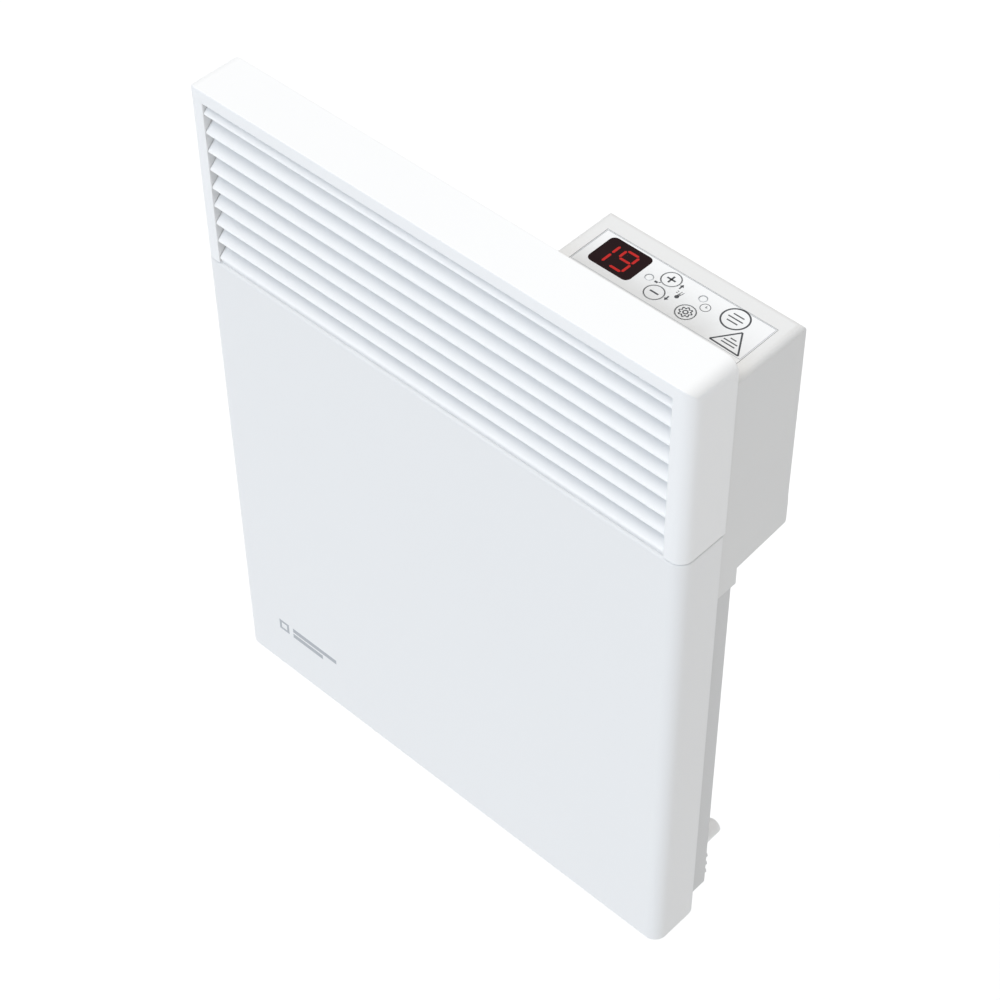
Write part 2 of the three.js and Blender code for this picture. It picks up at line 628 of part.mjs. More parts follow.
function backCasing() {
  const { ridges, slits } = rearLouvres();
  const flatSpot = rod("Y", [GLAND_X, CASING_REAR, GLAND_HEIGHT], GLAND_COLLAR + 1, 2 * LOUVRE_PROUD);
  const through = 2 * SHEET + 2 * PAST;
  const glandHole = rod("Y", [GLAND_X, CASING_INSIDE - PAST, GLAND_HEIGHT], GLAND_RADIUS + RUNNING, through);
  const screwHoles = [];
  for (const side of Object.values(SIDES)) {
    for (const z of HOOD_SCREW_Z) {
      const start = [side * HOOD_SCREW_X, hoodSeat(side) - PAST, z];
      screwHoles.push(rod("Y", start, SHANK + RUNNING, through, SCREW_SIDES));
    }
    const lugStart = [side * LUG_X, LUG_SCREW_DEPTH, CASING_BOTTOM - PAST];
    screwHoles.push(rod("Z", lugStart, SHANK + RUNNING, through, SCREW_SIDES));
  }
  for (const x of HOUSING_SCREW_X) {
    for (const z of HOUSING_SCREW_Z) {
      screwHoles.push(rod("Y", [x, POCKET_INSIDE - PAST, z], SHANK + RUNNING, through, SCREW_SIDES));
    }
  }
  const hookSlots = Object.values(RAIL_STARTS).map((rail) => {
    const top = HOOK_HEIGHT + ARM_HEIGHT / 2 + GAP;
    return block(
      [rail - 2 * GAP, rail + BRACKET_SHEET + 2 * GAP],
      [CASING_INSIDE - PAST, CASING_REAR + PAST],
      [top - ARM_HEIGHT - HOOK_RISE - 2, top],
    );
  });
  const latchSlots = Object.values(RAIL_STARTS).map((rail) =>
    block(
      span(rail + LATCH_OFFSET, LATCH_BAR.length + 2),
      [CASING_INSIDE - PAST, CASING_REAR + PAST],
      span(ARM_Z, LATCH_BAR.width + 2),
    ),
  );
  const cableHole = block(
    span(HALF - CABLE_HOLE.setback, CABLE_HOLE.width),
    [POCKET_INSIDE - PAST, POCKET_FACE + PAST],
    [HOUSING_BOTTOM + CABLE_HOLE.rise, HOUSING_BOTTOM + CABLE_HOLE.rise + CABLE_HOLE.height],
  );
  const lugTongues = Object.values(SIDES).map((side) =>
    block(
      span(side * LUG_X, LUG_WIDTH),
      [LUG_SCREW_DEPTH - 2 * BOSS, CASING_FRONT + SHEET],
      [CASING_BOTTOM, CASING_BOTTOM + SHEET],
    ),
  );
  const body = cut(join([casingShell(), ...ridges, ...lugTongues]), [flatSpot, glandHole]);
  return cut(body, [...inletSlots(), ...slits, ...screwHoles, ...hookSlots, ...latchSlots, cableHole]);
}

// ---------------------------------------------------------------- control housing

// The housing's side outline in (y, z).
function housingOutline() {
  const skirtRear = CASING_REAR + SKIRT_DEPTH;
  const shape = new THREE.Shape();
  shape.moveTo(HOUSING_FRONT, SKIRT_BOTTOM);
  shape.lineTo(skirtRear, SKIRT_BOTTOM);
  shape.lineTo(skirtRear, HOUSING_BOTTOM);
  shape.lineTo(HOUSING_REAR, HOUSING_BOTTOM + HOUSING_FALL);
  shape.quadraticCurveTo(
    HOUSING_LIP,
    HOUSING_BOTTOM + HOUSING_FALL,
    HOUSING_LIP,
    HOUSING_BOTTOM + HOUSING_FALL + 2 * LIP_PROUD,
  );
  shape.lineTo(HOUSING_REAR, HOUSING_BOTTOM + HOUSING_FALL + LIP_HEIGHT);
  shape.absarc(HOUSING_REAR - HOUSING_EDGE, HOUSING_TOP - HOUSING_EDGE, HOUSING_EDGE, 0, QUARTER, false);
  shape.lineTo(HOUSING_FRONT, HOUSING_TOP);
  shape.closePath();
  return shape;
}

// Where a feature of the label lies, from its left and rear edges.
function onLabel({ across, back }) {
  return [LABEL_X[0] + across, LABEL_Y[1] - back];
}

function windowOutline(grow) {
  const x = [LABEL_X[0] + WINDOW.left - grow, LABEL_X[0] + WINDOW.right + grow];
  const y = [LABEL_Y[1] - WINDOW.front - grow, LABEL_Y[1] - WINDOW.rear + grow];
  const radius = WINDOW_CORNER + grow;
  return outline(x, y, [radius, radius, radius, radius]);
}

// The openings that the label and the housing's top share.
function controlOpenings(from, to) {
  const height = to - from;
  const keys = [PLUS_KEY, MINUS_KEY, MODE_KEY].map((key) =>
    rod("Z", [...onLabel(key), from], KEY_RADIUS + RUNNING, height, KEY_SIDES),
  );
  const lights = [HEAT_LIGHT, TIMER_LIGHT].map((light) =>
    rod("Z", [...onLabel(light), from], LIGHT_RADIUS + RUNNING, height, SCREW_SIDES),
  );
  return [...keys, ...lights, prism(windowOutline(GAP), "Z", from, to, 3)];
}

const BOARD_SCREWS = {
  front: [HOUSING_LEFT + BOARD_SCREW.left, HOUSING_FRONT + BOARD_SCREW.front],
  rear: [HOUSING_RIGHT - BOARD_SCREW.right, HOUSING_REAR - BOARD_SCREW.rear],
};

function controlHousing() {
  const plan = outline(
    [HOUSING_LEFT, HOUSING_RIGHT],
    [HOUSING_FRONT, HOUSING_LIP],
    [0, 0, HOUSING_EDGE, HOUSING_EDGE],
  );
  const front = outline(
    [HOUSING_LEFT, HOUSING_RIGHT],
    [SKIRT_BOTTOM, HOUSING_TOP],
    [0, 0, HOUSING_EDGE, HOUSING_EDGE],
  );
  const solid = prism(housingOutline(), "X", HOUSING_LEFT, HOUSING_RIGHT, 5)
    .intersect(prism(plan, "Z", SKIRT_BOTTOM, HOUSING_TOP, 4))
    .intersect(prism(front, "Y", HOUSING_FRONT, HOUSING_LIP, 4));
  const wallX = [HOUSING_LEFT + MOULDING, HOUSING_RIGHT - MOULDING];
  const cavity = block(
    wallX,
    [HOUSING_FRONT - PAST, HOUSING_REAR - MOULDING],
    [HOUSING_FLOOR, HOUSING_CEILING],
  );
  const skirtHollow = block(
    wallX,
    [HOUSING_FRONT - PAST, CASING_REAR + SKIRT_DEPTH - MOULDING],
    [SKIRT_BOTTOM + MOULDING, HOUSING_FLOOR - MOULDING],
  );
  const recess = block(
    [LABEL_X[0] - GAP, LABEL_X[1] + GAP],
    [LABEL_Y[0] - GAP, LABEL_Y[1] + GAP],
    [RECESS_FLOOR, HOUSING_TOP + PAST],
  );
  const shell = cut(solid, [
    cavity,
    skirtHollow,
    recess,
    ...controlOpenings(HOUSING_CEILING - PAST, RECESS_FLOOR + PAST),
  ]);
  const tongue = block(
    [NARROW_HALF + GAP, HOUSING_RIGHT],
    [PANEL_SHOULDER, HOUSING_FRONT + MOULDING],
    [SKIRT_BOTTOM, PANEL_TOP - GAP],
  );
  const added = [tongue];
  const pilots = [];
  for (const x of HOUSING_SCREW_X) {
    const wall = x < (HOUSING_LEFT + HOUSING_RIGHT) / 2 ? HOUSING_LEFT : HOUSING_RIGHT;
    const web = [Math.min(x, wall) + MOULDING / 2, Math.max(x, wall) - MOULDING / 2];
    for (const z of HOUSING_SCREW_Z) {
      const y = [HOUSING_FRONT, HOUSING_FRONT + HOUSING_SCREW.boss];
      added.push(rod("Y", [x, y[0], z], BOSS, HOUSING_SCREW.boss, SCREW_SIDES));
      added.push(block(web, y, span(z, SHANK)));
      pilots.push(rod("Y", [x, y[0] - PAST, z], SHANK + RUNNING, HOUSING_SCREW.boss, SCREW_SIDES));
    }
  }
  const { side: postSide, end: postEnd } = POWER_BOARD_POST;
  for (const x of [POWER_BOARD_LEFT + postSide, POWER_BOARD_RIGHT - postSide]) {
    for (const z of [POWER_BOARD_BOTTOM + postEnd, POWER_BOARD_TOP - postEnd]) {
      const start = POWER_BOARD_REAR + GAP;
      added.push(rod("Y", [x, start, z], BOSS, HOUSING_REAR - MOULDING / 2 - start, SCREW_SIDES));
    }
  }
  for (const [x, y] of Object.values(BOARD_SCREWS)) {
    const bottom = BOARD_TOP + GAP;
    added.push(rod("Z", [x, y, bottom], BOSS, HOUSING_CEILING + MOULDING / 2 - bottom, SCREW_SIDES));
    pilots.push(rod("Z", [x, y, bottom - PAST], SHANK + RUNNING, BOARD_SCREW.length + PAST, SCREW_SIDES));
  }
  return cut(join([shell, ...added]), pilots);
}

function controlLabel() {
  const z = [HOUSING_TOP - LABEL_THICKNESS, HOUSING_TOP];
  return cut(block(LABEL_X, LABEL_Y, z), controlOpenings(z[0] - PAST, z[1] + PAST));
}

function displayWindow() {
  const flangeTop = HOUSING_CEILING - GAP;
  const { width, thickness } = WINDOW_FLANGE;
  const flange = prism(windowOutline(width), "Z", flangeTop - thickness, flangeTop, 3);
  return flange.add(prism(windowOutline(0), "Z", flangeTop - thickness / 2, HOUSING_TOP, 3));
}

// A key about its own axis: cap, retaining flange and the stem that reaches down to its switch.
function keySolid() {
  const stemBottom = BOARD_TOP + GAP + SWITCH_HEIGHT + PLUNGER_HEIGHT + KEY_TRAVEL + KEY_SLACK;
  const flangeTop = HOUSING_CEILING - 2 * GAP;
  const flangeBottom = flangeTop - KEY_FLANGE_THICKNESS;
  const profile = [
    [0, stemBottom],
    [KEY_STEM, stemBottom],
    [KEY_STEM, flangeBottom],
    [KEY_FLANGE, flangeBottom],
    [KEY_FLANGE, flangeTop],
    [KEY_RADIUS, flangeTop],
    [KEY_RADIUS, HOUSING_TOP],
    [0, HOUSING_TOP],
  ];
  const geometry = turned(profile, KEY_SIDES);
  geometry.rotateX(QUARTER);
  return geometry;
}

function switchSolid() {
  const bottom = BOARD_TOP + GAP;
  const body = block(span(0, SWITCH_SIZE), span(0, SWITCH_SIZE), [bottom, bottom + SWITCH_HEIGHT]);
  const plungerStart = [0, 0, bottom + SWITCH_HEIGHT - PAST];
  return body.add(rod("Z", plungerStart, PLUNGER_RADIUS, PLUNGER_HEIGHT + PAST, 12));
}

function controlBoard() {
  const x = [HOUSING_LEFT + BOARD_MARGIN, HOUSING_RIGHT - BOARD_MARGIN];
  const y = [HOUSING_FRONT + BOARD_MARGIN, HOUSING_REAR - BOARD_MARGIN];
  const holes = Object.values(BOARD_SCREWS).map(([holeX, holeY]) =>
    rod("Z", [holeX, holeY, BOARD_BOTTOM - PAST], SHANK + RUNNING, BOARD + 2 * PAST, SCREW_SIDES),
  );
  return cut(block(x, y, [BOARD_BOTTOM, BOARD_TOP]), holes);
}

// A component that stands on the power board's front, at a place from the board's lower left or right corner.
function onPowerBoard({ left, right, bottom, width, height, depth }) {
  const x = left === undefined ? POWER_BOARD_RIGHT - right - width : POWER_BOARD_LEFT + left;
  const z = POWER_BOARD_BOTTOM + bottom;
  const y = POWER_BOARD_FRONT - GAP;
  return block([x, x + width], [y - depth, y], [z, z + height]);
}

// The ribbon that joins the two boards, in (y, z): down from the control board, then on to the power board.
function ribbonCable() {
  const { left, width, thickness, bend, landing } = RIBBON;
  const top = BOARD_BOTTOM - GAP;
  const face = POWER_BOARD_FRONT - GAP;
  const front = face - bend;
  const low = POWER_BOARD_TOP - landing;
  const section = new THREE.Shape();
  section.moveTo(front, top);
  section.lineTo(front, low + bend);
  section.quadraticCurveTo(front, low, face, low);
  section.lineTo(face, low + thickness);
  section.quadraticCurveTo(front + thickness, low + thickness, front + thickness, low + bend);
  section.lineTo(front + thickness, top);
  section.closePath();
  return prism(section, "X", POWER_BOARD_LEFT + left, POWER_BOARD_LEFT + left + width, 5);
}

function addControls(group) {
  place(group, "control_housing", "whiteMoulding", controlHousing());
  place(group, "control_label", "label", controlLabel());
  place(group, "display_window", "darkWindow", displayWindow());
  const displayX = [LABEL_X[0] + WINDOW.left, LABEL_X[0] + WINDOW.right];
  const displayY = [LABEL_Y[1] - WINDOW.front, LABEL_Y[1] - WINDOW.rear];
  const displayZ = [BOARD_TOP + GAP, HOUSING_CEILING - DISPLAY_CLEARANCE];
  place(group, "display_module", "blackPlastic", block(displayX, displayY, displayZ));
  const keys = { plus: PLUS_KEY, minus: MINUS_KEY, mode: MODE_KEY };
  for (const [name, key] of Object.entries(keys)) {
    place(group, name + "_key", "label", keySolid(), [...onLabel(key), 0]);
    place(group, name + "_switch", "blackPlastic", switchSolid(), [...onLabel(key), 0]);
  }
  const lights = { heat: HEAT_LIGHT, timer: TIMER_LIGHT };
  const lightBottom = BOARD_TOP + GAP;
  for (const [name, light] of Object.entries(lights)) {
    const pipe = rod("Z", [0, 0, 0], LIGHT_RADIUS - LIGHT_SLACK, HOUSING_TOP - lightBottom, SCREW_SIDES);
    place(group, name + "_light", "clearLight", pipe, [...onLabel(light), lightBottom]);
  }
  place(group, "control_board", "circuitBoard", controlBoard());
  const powerBoard = block(
    [POWER_BOARD_LEFT, POWER_BOARD_RIGHT],
    [POWER_BOARD_FRONT, POWER_BOARD_REAR],
    [POWER_BOARD_BOTTOM, POWER_BOARD_TOP],
  );
  place(group, "power_board", "circuitBoard", powerBoard);
  place(group, "relay", "bluePlastic", onPowerBoard(RELAY));
  place(group, "transformer", "yellowTape", onPowerBoard(TRANSFORMER));
  place(group, "terminal_block", "greyPlastic", onPowerBoard(TERMINAL_BLOCK));
  const canStart = [
    POWER_BOARD_LEFT + CAPACITOR.left,
    POWER_BOARD_FRONT - GAP - CAPACITOR.length,
    POWER_BOARD_BOTTOM + CAPACITOR.bottom,
  ];
  place(group, "capacitor", "blackPlastic", rod("Y", canStart, CAPACITOR.radius, CAPACITOR.length));
  place(group, "ribbon_cable", "greyPlastic", ribbonCable());
}

// ---------------------------------------------------------------- heating group

// The finned element's section in (y, z): a round core with four arms, each with two cross fins.
function elementOutline() {
  const points = [];
  const armAngle = Math.atan2(ARM_REACH.height, ARM_REACH.depth);
  const angles = [armAngle, Math.PI - armAngle, Math.PI + armAngle, 2 * Math.PI - armAngle];
  const reach = Math.hypot(ARM_REACH.depth, ARM_REACH.height);
  angles.forEach((angle, i) => {
    const along = [Math.cos(angle), Math.sin(angle)];
    const across = [-along[1], along[0]];
    const at = (distance, offset) => [
      ELEMENT_DEPTH + along[0] * distance + across[0] * offset,
      ELEMENT_HEIGHT + along[1] * distance + across[1] * offset,
    ];
    for (const sign of [-1, 1]) {
      const run = [];
      run.push(at(ELEMENT_CORE, sign * ARM_HALF));
      for (const distance of [reach * 0.5, reach * 0.75]) {
        run.push(at(distance, sign * ARM_HALF));
        run.push(at(distance, sign * CROSS_FIN));
        run.push(at(distance + 2 * ARM_HALF, sign * CROSS_FIN));
        run.push(at(distance + 2 * ARM_HALF, sign * ARM_HALF));
      }
      run.push(at(reach, sign * ARM_HALF));
      points.push(...(sign < 0 ? run : run.reverse()));
    }
    const next = angles[(i + 1) % 4] + (i === 3 ? 2 * Math.PI : 0);
    const middle = (angle + next) / 2;
    points.push([
      ELEMENT_DEPTH + Math.cos(middle) * ELEMENT_CORE,
      ELEMENT_HEIGHT + Math.sin(middle) * ELEMENT_CORE,
    ]);
  });
  return polygon(points);
}

const FIN_HALF = HALF - ELEMENT_END;
const HANGER_X = HALF - HANGER_SETBACK;

function heatingElement() {
  const fins = prism(elementOutline(), "X", -FIN_HALF, FIN_HALF);
  const stemStart = [-FIN_HALF - STEM_LENGTH, ELEMENT_DEPTH, ELEMENT_HEIGHT];
  return fins.add(rod("X", stemStart, STEM_RADIUS, 2 * (FIN_HALF + STEM_LENGTH)));
}

// An end insulator about Y: a collar next to the fins, then a sleeve through the hanger.
function insulatorGeometry() {
  const bore = STEM_RADIUS + RUNNING;
  const collar = HANGER_X - FIN_HALF - 2 * GAP;
  const length = collar + HANGER_SHEET + SLEEVE_LENGTH;
  const profile = [
    [bore, 0],
    [INSULATOR_COLLAR, 0],
    [INSULATOR_COLLAR, collar],
    [INSULATOR_RADIUS, collar],
    [INSULATOR_RADIUS, length],
    [bore, length],
    [bore, 0],
  ];
  return turned(profile, ROD_SIDES);
}

// A sheet hanger seen from the right: plate with the insulator's hole, and a foot on the casing's rear.
function hanger(side) {
  const sheet = [Math.min(side * HANGER_X, side * (HANGER_X + HANGER_SHEET))];
  sheet.push(sheet[0] + HANGER_SHEET);
  const foot = [Math.min(side * HANGER_X, side * (HANGER_X + HANGER_FOOT))];
  foot.push(foot[0] + HANGER_FOOT);
  const rear = CASING_INSIDE - GAP;
  const z = span(ELEMENT_HEIGHT, 2 * HANGER_HALF);
  const plate = block(sheet, [HANGER_FRONT, rear], z);
  const footPlate = block(foot, [rear - HANGER_SHEET, rear], z);
  const holeStart = [sheet[0] - PAST, ELEMENT_DEPTH, ELEMENT_HEIGHT];
  const hole = rod("X", holeStart, INSULATOR_RADIUS + RUNNING, HANGER_SHEET + 2 * PAST);
  return plate.add(footPlate).subtract(hole);
}

// A push-on terminal along X: a round root and a flat blade.
function terminal() {
  const { radius, length, width, thickness, root } = TERMINAL;
  return rod("X", [0, 0, 0], radius, root, 12).add(
    block([root - PAST, length], span(0, thickness), span(0, width)),
  );
}

function heatShield() {
  const half = HANGER_X - 2;
  const rear = CASING_INSIDE - GAP;
  const section = polygon([
    [rear, SHIELD_BOTTOM],
    [rear, SHIELD_BOTTOM + SHIELD_SHEET],
    [SHIELD_FRONT + SHIELD_SHEET, SHIELD_BOTTOM + SHIELD_SHEET],
    [SHIELD_FRONT + SHIELD_SHEET, SHIELD_TOP - SHIELD_SHEET],
    [rear, SHIELD_TOP - SHIELD_SHEET],
    [rear, SHIELD_TOP],
    [SHIELD_FRONT, SHIELD_TOP],
    [SHIELD_FRONT, SHIELD_BOTTOM],
  ]);
  return prism(section, "X", -half, half);
}

// The snap-disc cut-out on the shield: mounting ears, can and two blades.
function thermalCutout() {
  const rear = SHIELD_FRONT - GAP;
  const { length, width, thickness } = CUTOUT_EARS;
  const ears = block(span(0, length), [rear - thickness, rear], span(CUTOUT_HEIGHT, width));
  const can = rod("Y", [0, rear - CUTOUT_DEPTH, CUTOUT_HEIGHT], CUTOUT_RADIUS, CUTOUT_DEPTH);
  const bladeZ = [CUTOUT_HEIGHT + CUTOUT_BLADE.low, CUTOUT_HEIGHT + CUTOUT_BLADE.high];
  const bladeY = span(rear - (2 * CUTOUT_DEPTH) / 3, CUTOUT_BLADE.thickness);
  const blades = Object.values(SIDES).map((side) =>
    block(span(side * CUTOUT_BLADE.offset, CUTOUT_BLADE.width), bladeY, bladeZ),
  );
  return join([ears, can, ...blades]);
}

// The curved sheet that turns the warm air towards the grille, in (y, z).
function airDeflector() {
  const half = OPENING_HALF - DEFLECTOR_SETBACK + REVEAL_WALL;
  const rear = POCKET_INSIDE - 2 * GAP;
  const front = CASING_FRONT + 2;
  const top = CASING_TOP - SHEET - GAP;
  const bottom = top - DEFLECTOR_LENGTH;
  const bend = top - DEFLECTOR_CURVE;
  const shape = new THREE.Shape();
  shape.moveTo(rear, bottom);
  shape.lineTo(rear, bend);
  shape.quadraticCurveTo(rear, top, front, top);
  shape.lineTo(front, top - SHIELD_SHEET);
  shape.quadraticCurveTo(rear - SHIELD_SHEET, top - SHIELD_SHEET, rear - SHIELD_SHEET, bend);
  shape.lineTo(rear - SHIELD_SHEET, bottom);
  shape.closePath();
  return prism(shape, "X", -half, half);
}

function sensorClip() {
  const x = span(HALF - PROBE_SETBACK, CLIP.width);
  const y = [PROBE_DEPTH - CLIP.grip, CASING_INSIDE - GAP];
  const start = [x[0] - PAST, PROBE_DEPTH, PROBE_HEIGHT];
  const hole = rod("X", start, PROBE_RADIUS + RUNNING, CLIP.width + 2 * PAST);
  return block(x, y, span(PROBE_HEIGHT, CLIP.height)).subtract(hole);
}

function addHeating(group) {
  place(group, "heating_element", "aluminium", heatingElement());
  for (const [name, side] of Object.entries(SIDES)) {
    const turn = [0, 0, -side * QUARTER];
    const start = side * (FIN_HALF + GAP);
    const axis = [ELEMENT_DEPTH, ELEMENT_HEIGHT];
    place(group, "element_insulator_" + name, "ceramic", insulatorGeometry(), [start, ...axis], turn);
    place(group, "element_hanger_" + name, "galvanisedSteel", hanger(side));
    const terminalStart = side * (FIN_HALF + STEM_LENGTH + GAP);
    const terminalTurn = [0, 0, side > 0 ? 0 : 2 * QUARTER];
    place(group, "element_terminal_" + name, "plainSteel", terminal(), [terminalStart, ...axis], terminalTurn);
  }
  place(group, "heat_shield", "galvanisedSteel", heatShield());
  place(group, "thermal_cutout", "plainSteel", thermalCutout());
  place(group, "air_deflector", "galvanisedSteel", airDeflector());
  place(group, "sensor_clip", "greyPlastic", sensorClip());
  const probeStart = [HALF - PROBE_SETBACK - PROBE_LENGTH / 2, PROBE_DEPTH, PROBE_HEIGHT];
  place(group, "sensor_probe", "plainSteel", rod("X", probeStart, PROBE_RADIUS, PROBE_LENGTH));

  // The element's two leads run up the casing's rear wall, then forward and through the pocket's cable hole.
  const terminalEnd = FIN_HALF + STEM_LENGTH + TERMINAL.length + 2 * GAP;
  const onWall = CASING_INSIDE - 2 * LEAD_RADIUS;
  const beforePocket = POCKET_INSIDE - 3 * LEAD_RADIUS;
  const holeX = HALF - CABLE_HOLE.setback;
  const holeZ = HOUSING_BOTTOM + CABLE_HOLE.rise + CABLE_HOLE.height / 2;
  const blockFace = POWER_BOARD_FRONT - TERMINAL_BLOCK.depth - 2 * GAP;
  const lowest = SHIELD_TOP + LEAD_ABOVE_SHIELD;
  const highest = POCKET_BOTTOM - LEAD_BELOW_POCKET;
  const fromTerminal = (side) => [
    [side * terminalEnd, ELEMENT_DEPTH, ELEMENT_HEIGHT],
    [side * (terminalEnd + 4), ELEMENT_DEPTH, ELEMENT_HEIGHT],
    [side * (terminalEnd + 6), ELEMENT_DEPTH + 3, ELEMENT_HEIGHT + 14],
    [side * (HALF - 18), onWall - 2, ELEMENT_HEIGHT + 60],
    [side * (HALF - 20), onWall, lowest],
  ];
  const throughHole = (offset) => [
    [holeX + offset, onWall, highest],
    [holeX + offset, onWall - 4, POCKET_BOTTOM - 20],
    [holeX + offset, beforePocket, POCKET_BOTTOM - 6],
    [holeX + offset, beforePocket - 1, POCKET_BOTTOM + 8],
    [holeX + offset, POCKET_INSIDE - 2, holeZ - 3],
    [holeX + offset, POCKET_FACE + 8, holeZ],
    [holeX + offset, blockFace, POWER_BOARD_BOTTOM + 8],
  ];
  const rightLead = [...fromTerminal(1), ...throughHole(6)];
  const acrossWall = [
    [-HALF / 2, onWall, THREE.MathUtils.lerp(lowest, highest, 0.2)],
    [0, onWall, THREE.MathUtils.lerp(lowest, highest, 0.4)],
    [holeX - 30, onWall, THREE.MathUtils.lerp(lowest, highest, 0.7)],
  ];
  const leftLead = [...fromTerminal(-1), ...acrossWall, ...throughHole(-6)];
  place(group, "element_lead_right", "silicone", wireGeometry(rightLead, LEAD_RADIUS, 30));
  place(group, "element_lead_left", "silicone", wireGeometry(leftLead, LEAD_RADIUS, 40));
}

// ---------------------------------------------------------------- fasteners and gland

function addFasteners(group) {
  const away = [0, 0, 2 * QUARTER];
  for (const [name, side] of Object.entries(SIDES)) {
    HOOD_SCREW_Z.forEach((z, i) => {
      const seat = hoodSeat(side) + SHEET + GAP;
      const { length } = HOOD_SCREW;
      const node = "hood_screw_" + name + "_" + (i ? "upper" : "lower");
      place(group, node, "plainSteel", screwGeometry(length), [side * HOOD_SCREW_X, seat - length, z]);
    });
    const lugSeat = LUG_BOTTOM - GAP;
    const upwards = [-QUARTER, 0, 0];
    const lugPlace = [side * LUG_X, LUG_SCREW_DEPTH, lugSeat + PANEL_SCREW_LENGTH];
    place(group, "panel_screw_" + name, "plainSteel", screwGeometry(PANEL_SCREW_LENGTH), lugPlace, upwards);
  }
  HOUSING_SCREW_X.forEach((x, i) => {
    HOUSING_SCREW_Z.forEach((z, j) => {
      const node = "housing_screw_" + (i ? "right" : "left") + "_" + (j ? "upper" : "lower");
      const seat = POCKET_INSIDE - GAP;
      const { length } = HOUSING_SCREW;
      place(group, node, "plainSteel", screwGeometry(length), [x, seat + length, z], away);
    });
  });
  for (const [name, [x, y]] of Object.entries(BOARD_SCREWS)) {
    const seat = BOARD_BOTTOM - GAP;
    const downwards = [-QUARTER, 0, 0];
    const { length } = BOARD_SCREW;
    place(group, "board_screw_" + name, "plainSteel", screwGeometry(length), [x, y, seat + length], downwards);
  }
  const earthSeat = CASING_INSIDE - GAP;
  const { height, side: earthSide, aboveShield } = EARTH_SCREW;
  const stud = [
    [0, -height],
    [HEAD, -height],
    [HEAD, 0],
    [0, 0],
  ];
  const earthPlace = [HALF - earthSide, earthSeat, SHIELD_TOP + aboveShield];
  place(group, "earth_screw", "plainSteel", turned(stud, SCREW_SIDES), earthPlace);
}

// The gland about Y from the casing's rear face: sleeve with a collar, bored for the lead.
function cableGland() {
  const root = -SHEET - GLAND_ROOT;
  const profile = [
    [GLAND_BORE, root],
    [GLAND_RADIUS, root],
    [GLAND_RADIUS, GAP],
    [GLAND_COLLAR, GAP],
    [GLAND_COLLAR, GAP + GLAND_COLLAR_LENGTH],
    [GLAND_RADIUS, GAP + GLAND_COLLAR_LENGTH],
    [GLAND_RADIUS, GLAND_REACH - GLAND_CHAMFER],
    [GLAND_RADIUS - GLAND_CHAMFER, GLAND_REACH],
    [GLAND_BORE, GLAND_REACH],
    [GLAND_BORE, root],
  ];
  return turned(profile, ROD_SIDES);
}

// A six-sided nut inside the casing, with two of its flats facing left and right.
function glandNut() {
  const start = [GLAND_X, CASING_INSIDE - GAP - NUT_THICKNESS, GLAND_HEIGHT];
  const boreStart = [start[0], start[1] - PAST, start[2]];
  const bore = rod("Y", boreStart, GLAND_RADIUS + RUNNING, NUT_THICKNESS + 2 * PAST);
  return rod("Y", start, NUT_RADIUS, NUT_THICKNESS, 6).subtract(bore);
}

function addGland(group) {
  place(group, "cable_gland", "whiteMoulding", cableGland(), [GLAND_X, CASING_REAR, GLAND_HEIGHT]);
  place(group, "gland_nut", "whiteMoulding", glandNut());
}

// ---------------------------------------------------------------- wall bracket

function wallSlot(x, z, alongX) {
  const { width, length, flat } = WALL_SLOT;
  const radius = (width - flat) / 2;
  const sizes = alongX ? [length, width] : [width, length];
  const shape = outline(span(x, sizes[0]), span(z, sizes[1]), [radius, radius, radius, radius]);
  return prism(shape, "Y", BRACKET_FACE - PAST, DEPTH + PAST, 4);
}

// An arm's side outline in (y, z), ending in a hook that points up behind the casing's rear wall.
function hookOutline() {
  const z = span(HOOK_HEIGHT, ARM_HEIGHT);
  const hookRear = CASING_INSIDE - GAP;
  const hookFront = hookRear - HOOK_THICKNESS;
  return polygon([
    [hookFront, z[0]],
    [DEPTH - BRACKET_SHEET / 2, z[0]],
    [DEPTH - BRACKET_SHEET / 2, z[1]],
    [hookRear, z[1]],
    [hookRear, z[1] + HOOK_RISE],
    [hookFront, z[1] + HOOK_RISE],
  ]);
}

function wallBracket() {
  const rails = [];
  const holes = [];
  const z = [HOOK_HEIGHT - RAIL_OVERHANG, ARM_Z + RAIL_OVERHANG];
  for (const [name, rail] of Object.entries(RAIL_STARTS)) {
    const x = [rail, rail + RAIL_WIDTH];
    rails.push(block(x, [BRACKET_FACE, DEPTH], z));
    const edge = name === "left" ? x[0] : x[1] - BRACKET_SHEET;
    rails.push(block([edge, edge + BRACKET_SHEET], [DEPTH - RAIL_FLANGE, DEPTH - PAST], z));
    rails.push(prism(hookOutline(), "X", rail, rail + BRACKET_SHEET));
    const armZ = span(ARM_Z, TAB_HEIGHT);
    rails.push(block([rail, rail + BRACKET_SHEET], [TAB_FRONT, DEPTH - PAST], armZ));
    const tab = [rail, rail + BRACKET_SHEET + TAB_WIDTH];
    rails.push(block(tab, [TAB_FRONT, TAB_FRONT + BRACKET_SHEET], armZ));
    const pinStart = [rail + LATCH_OFFSET, TAB_FRONT - PAST, ARM_Z];
    holes.push(rod("Y", pinStart, LATCH_PIN + RUNNING, BRACKET_SHEET + 2 * PAST));
  }
  const barX = [LEFT_RAIL, RIGHT_RAIL + RAIL_WIDTH];
  for (const barZ of [HOOK_HEIGHT, ARM_Z]) {
    rails.push(block(barX, [BRACKET_FACE, DEPTH], span(barZ, BAR_HEIGHT)));
    for (const x of [barX[0] + RAIL_WIDTH + WALL_SLOT.inset, barX[1] - RAIL_WIDTH - WALL_SLOT.inset]) {
      holes.push(wallSlot(x, barZ, barZ === ARM_Z));
    }
  }
  return cut(join(rails), holes);
}

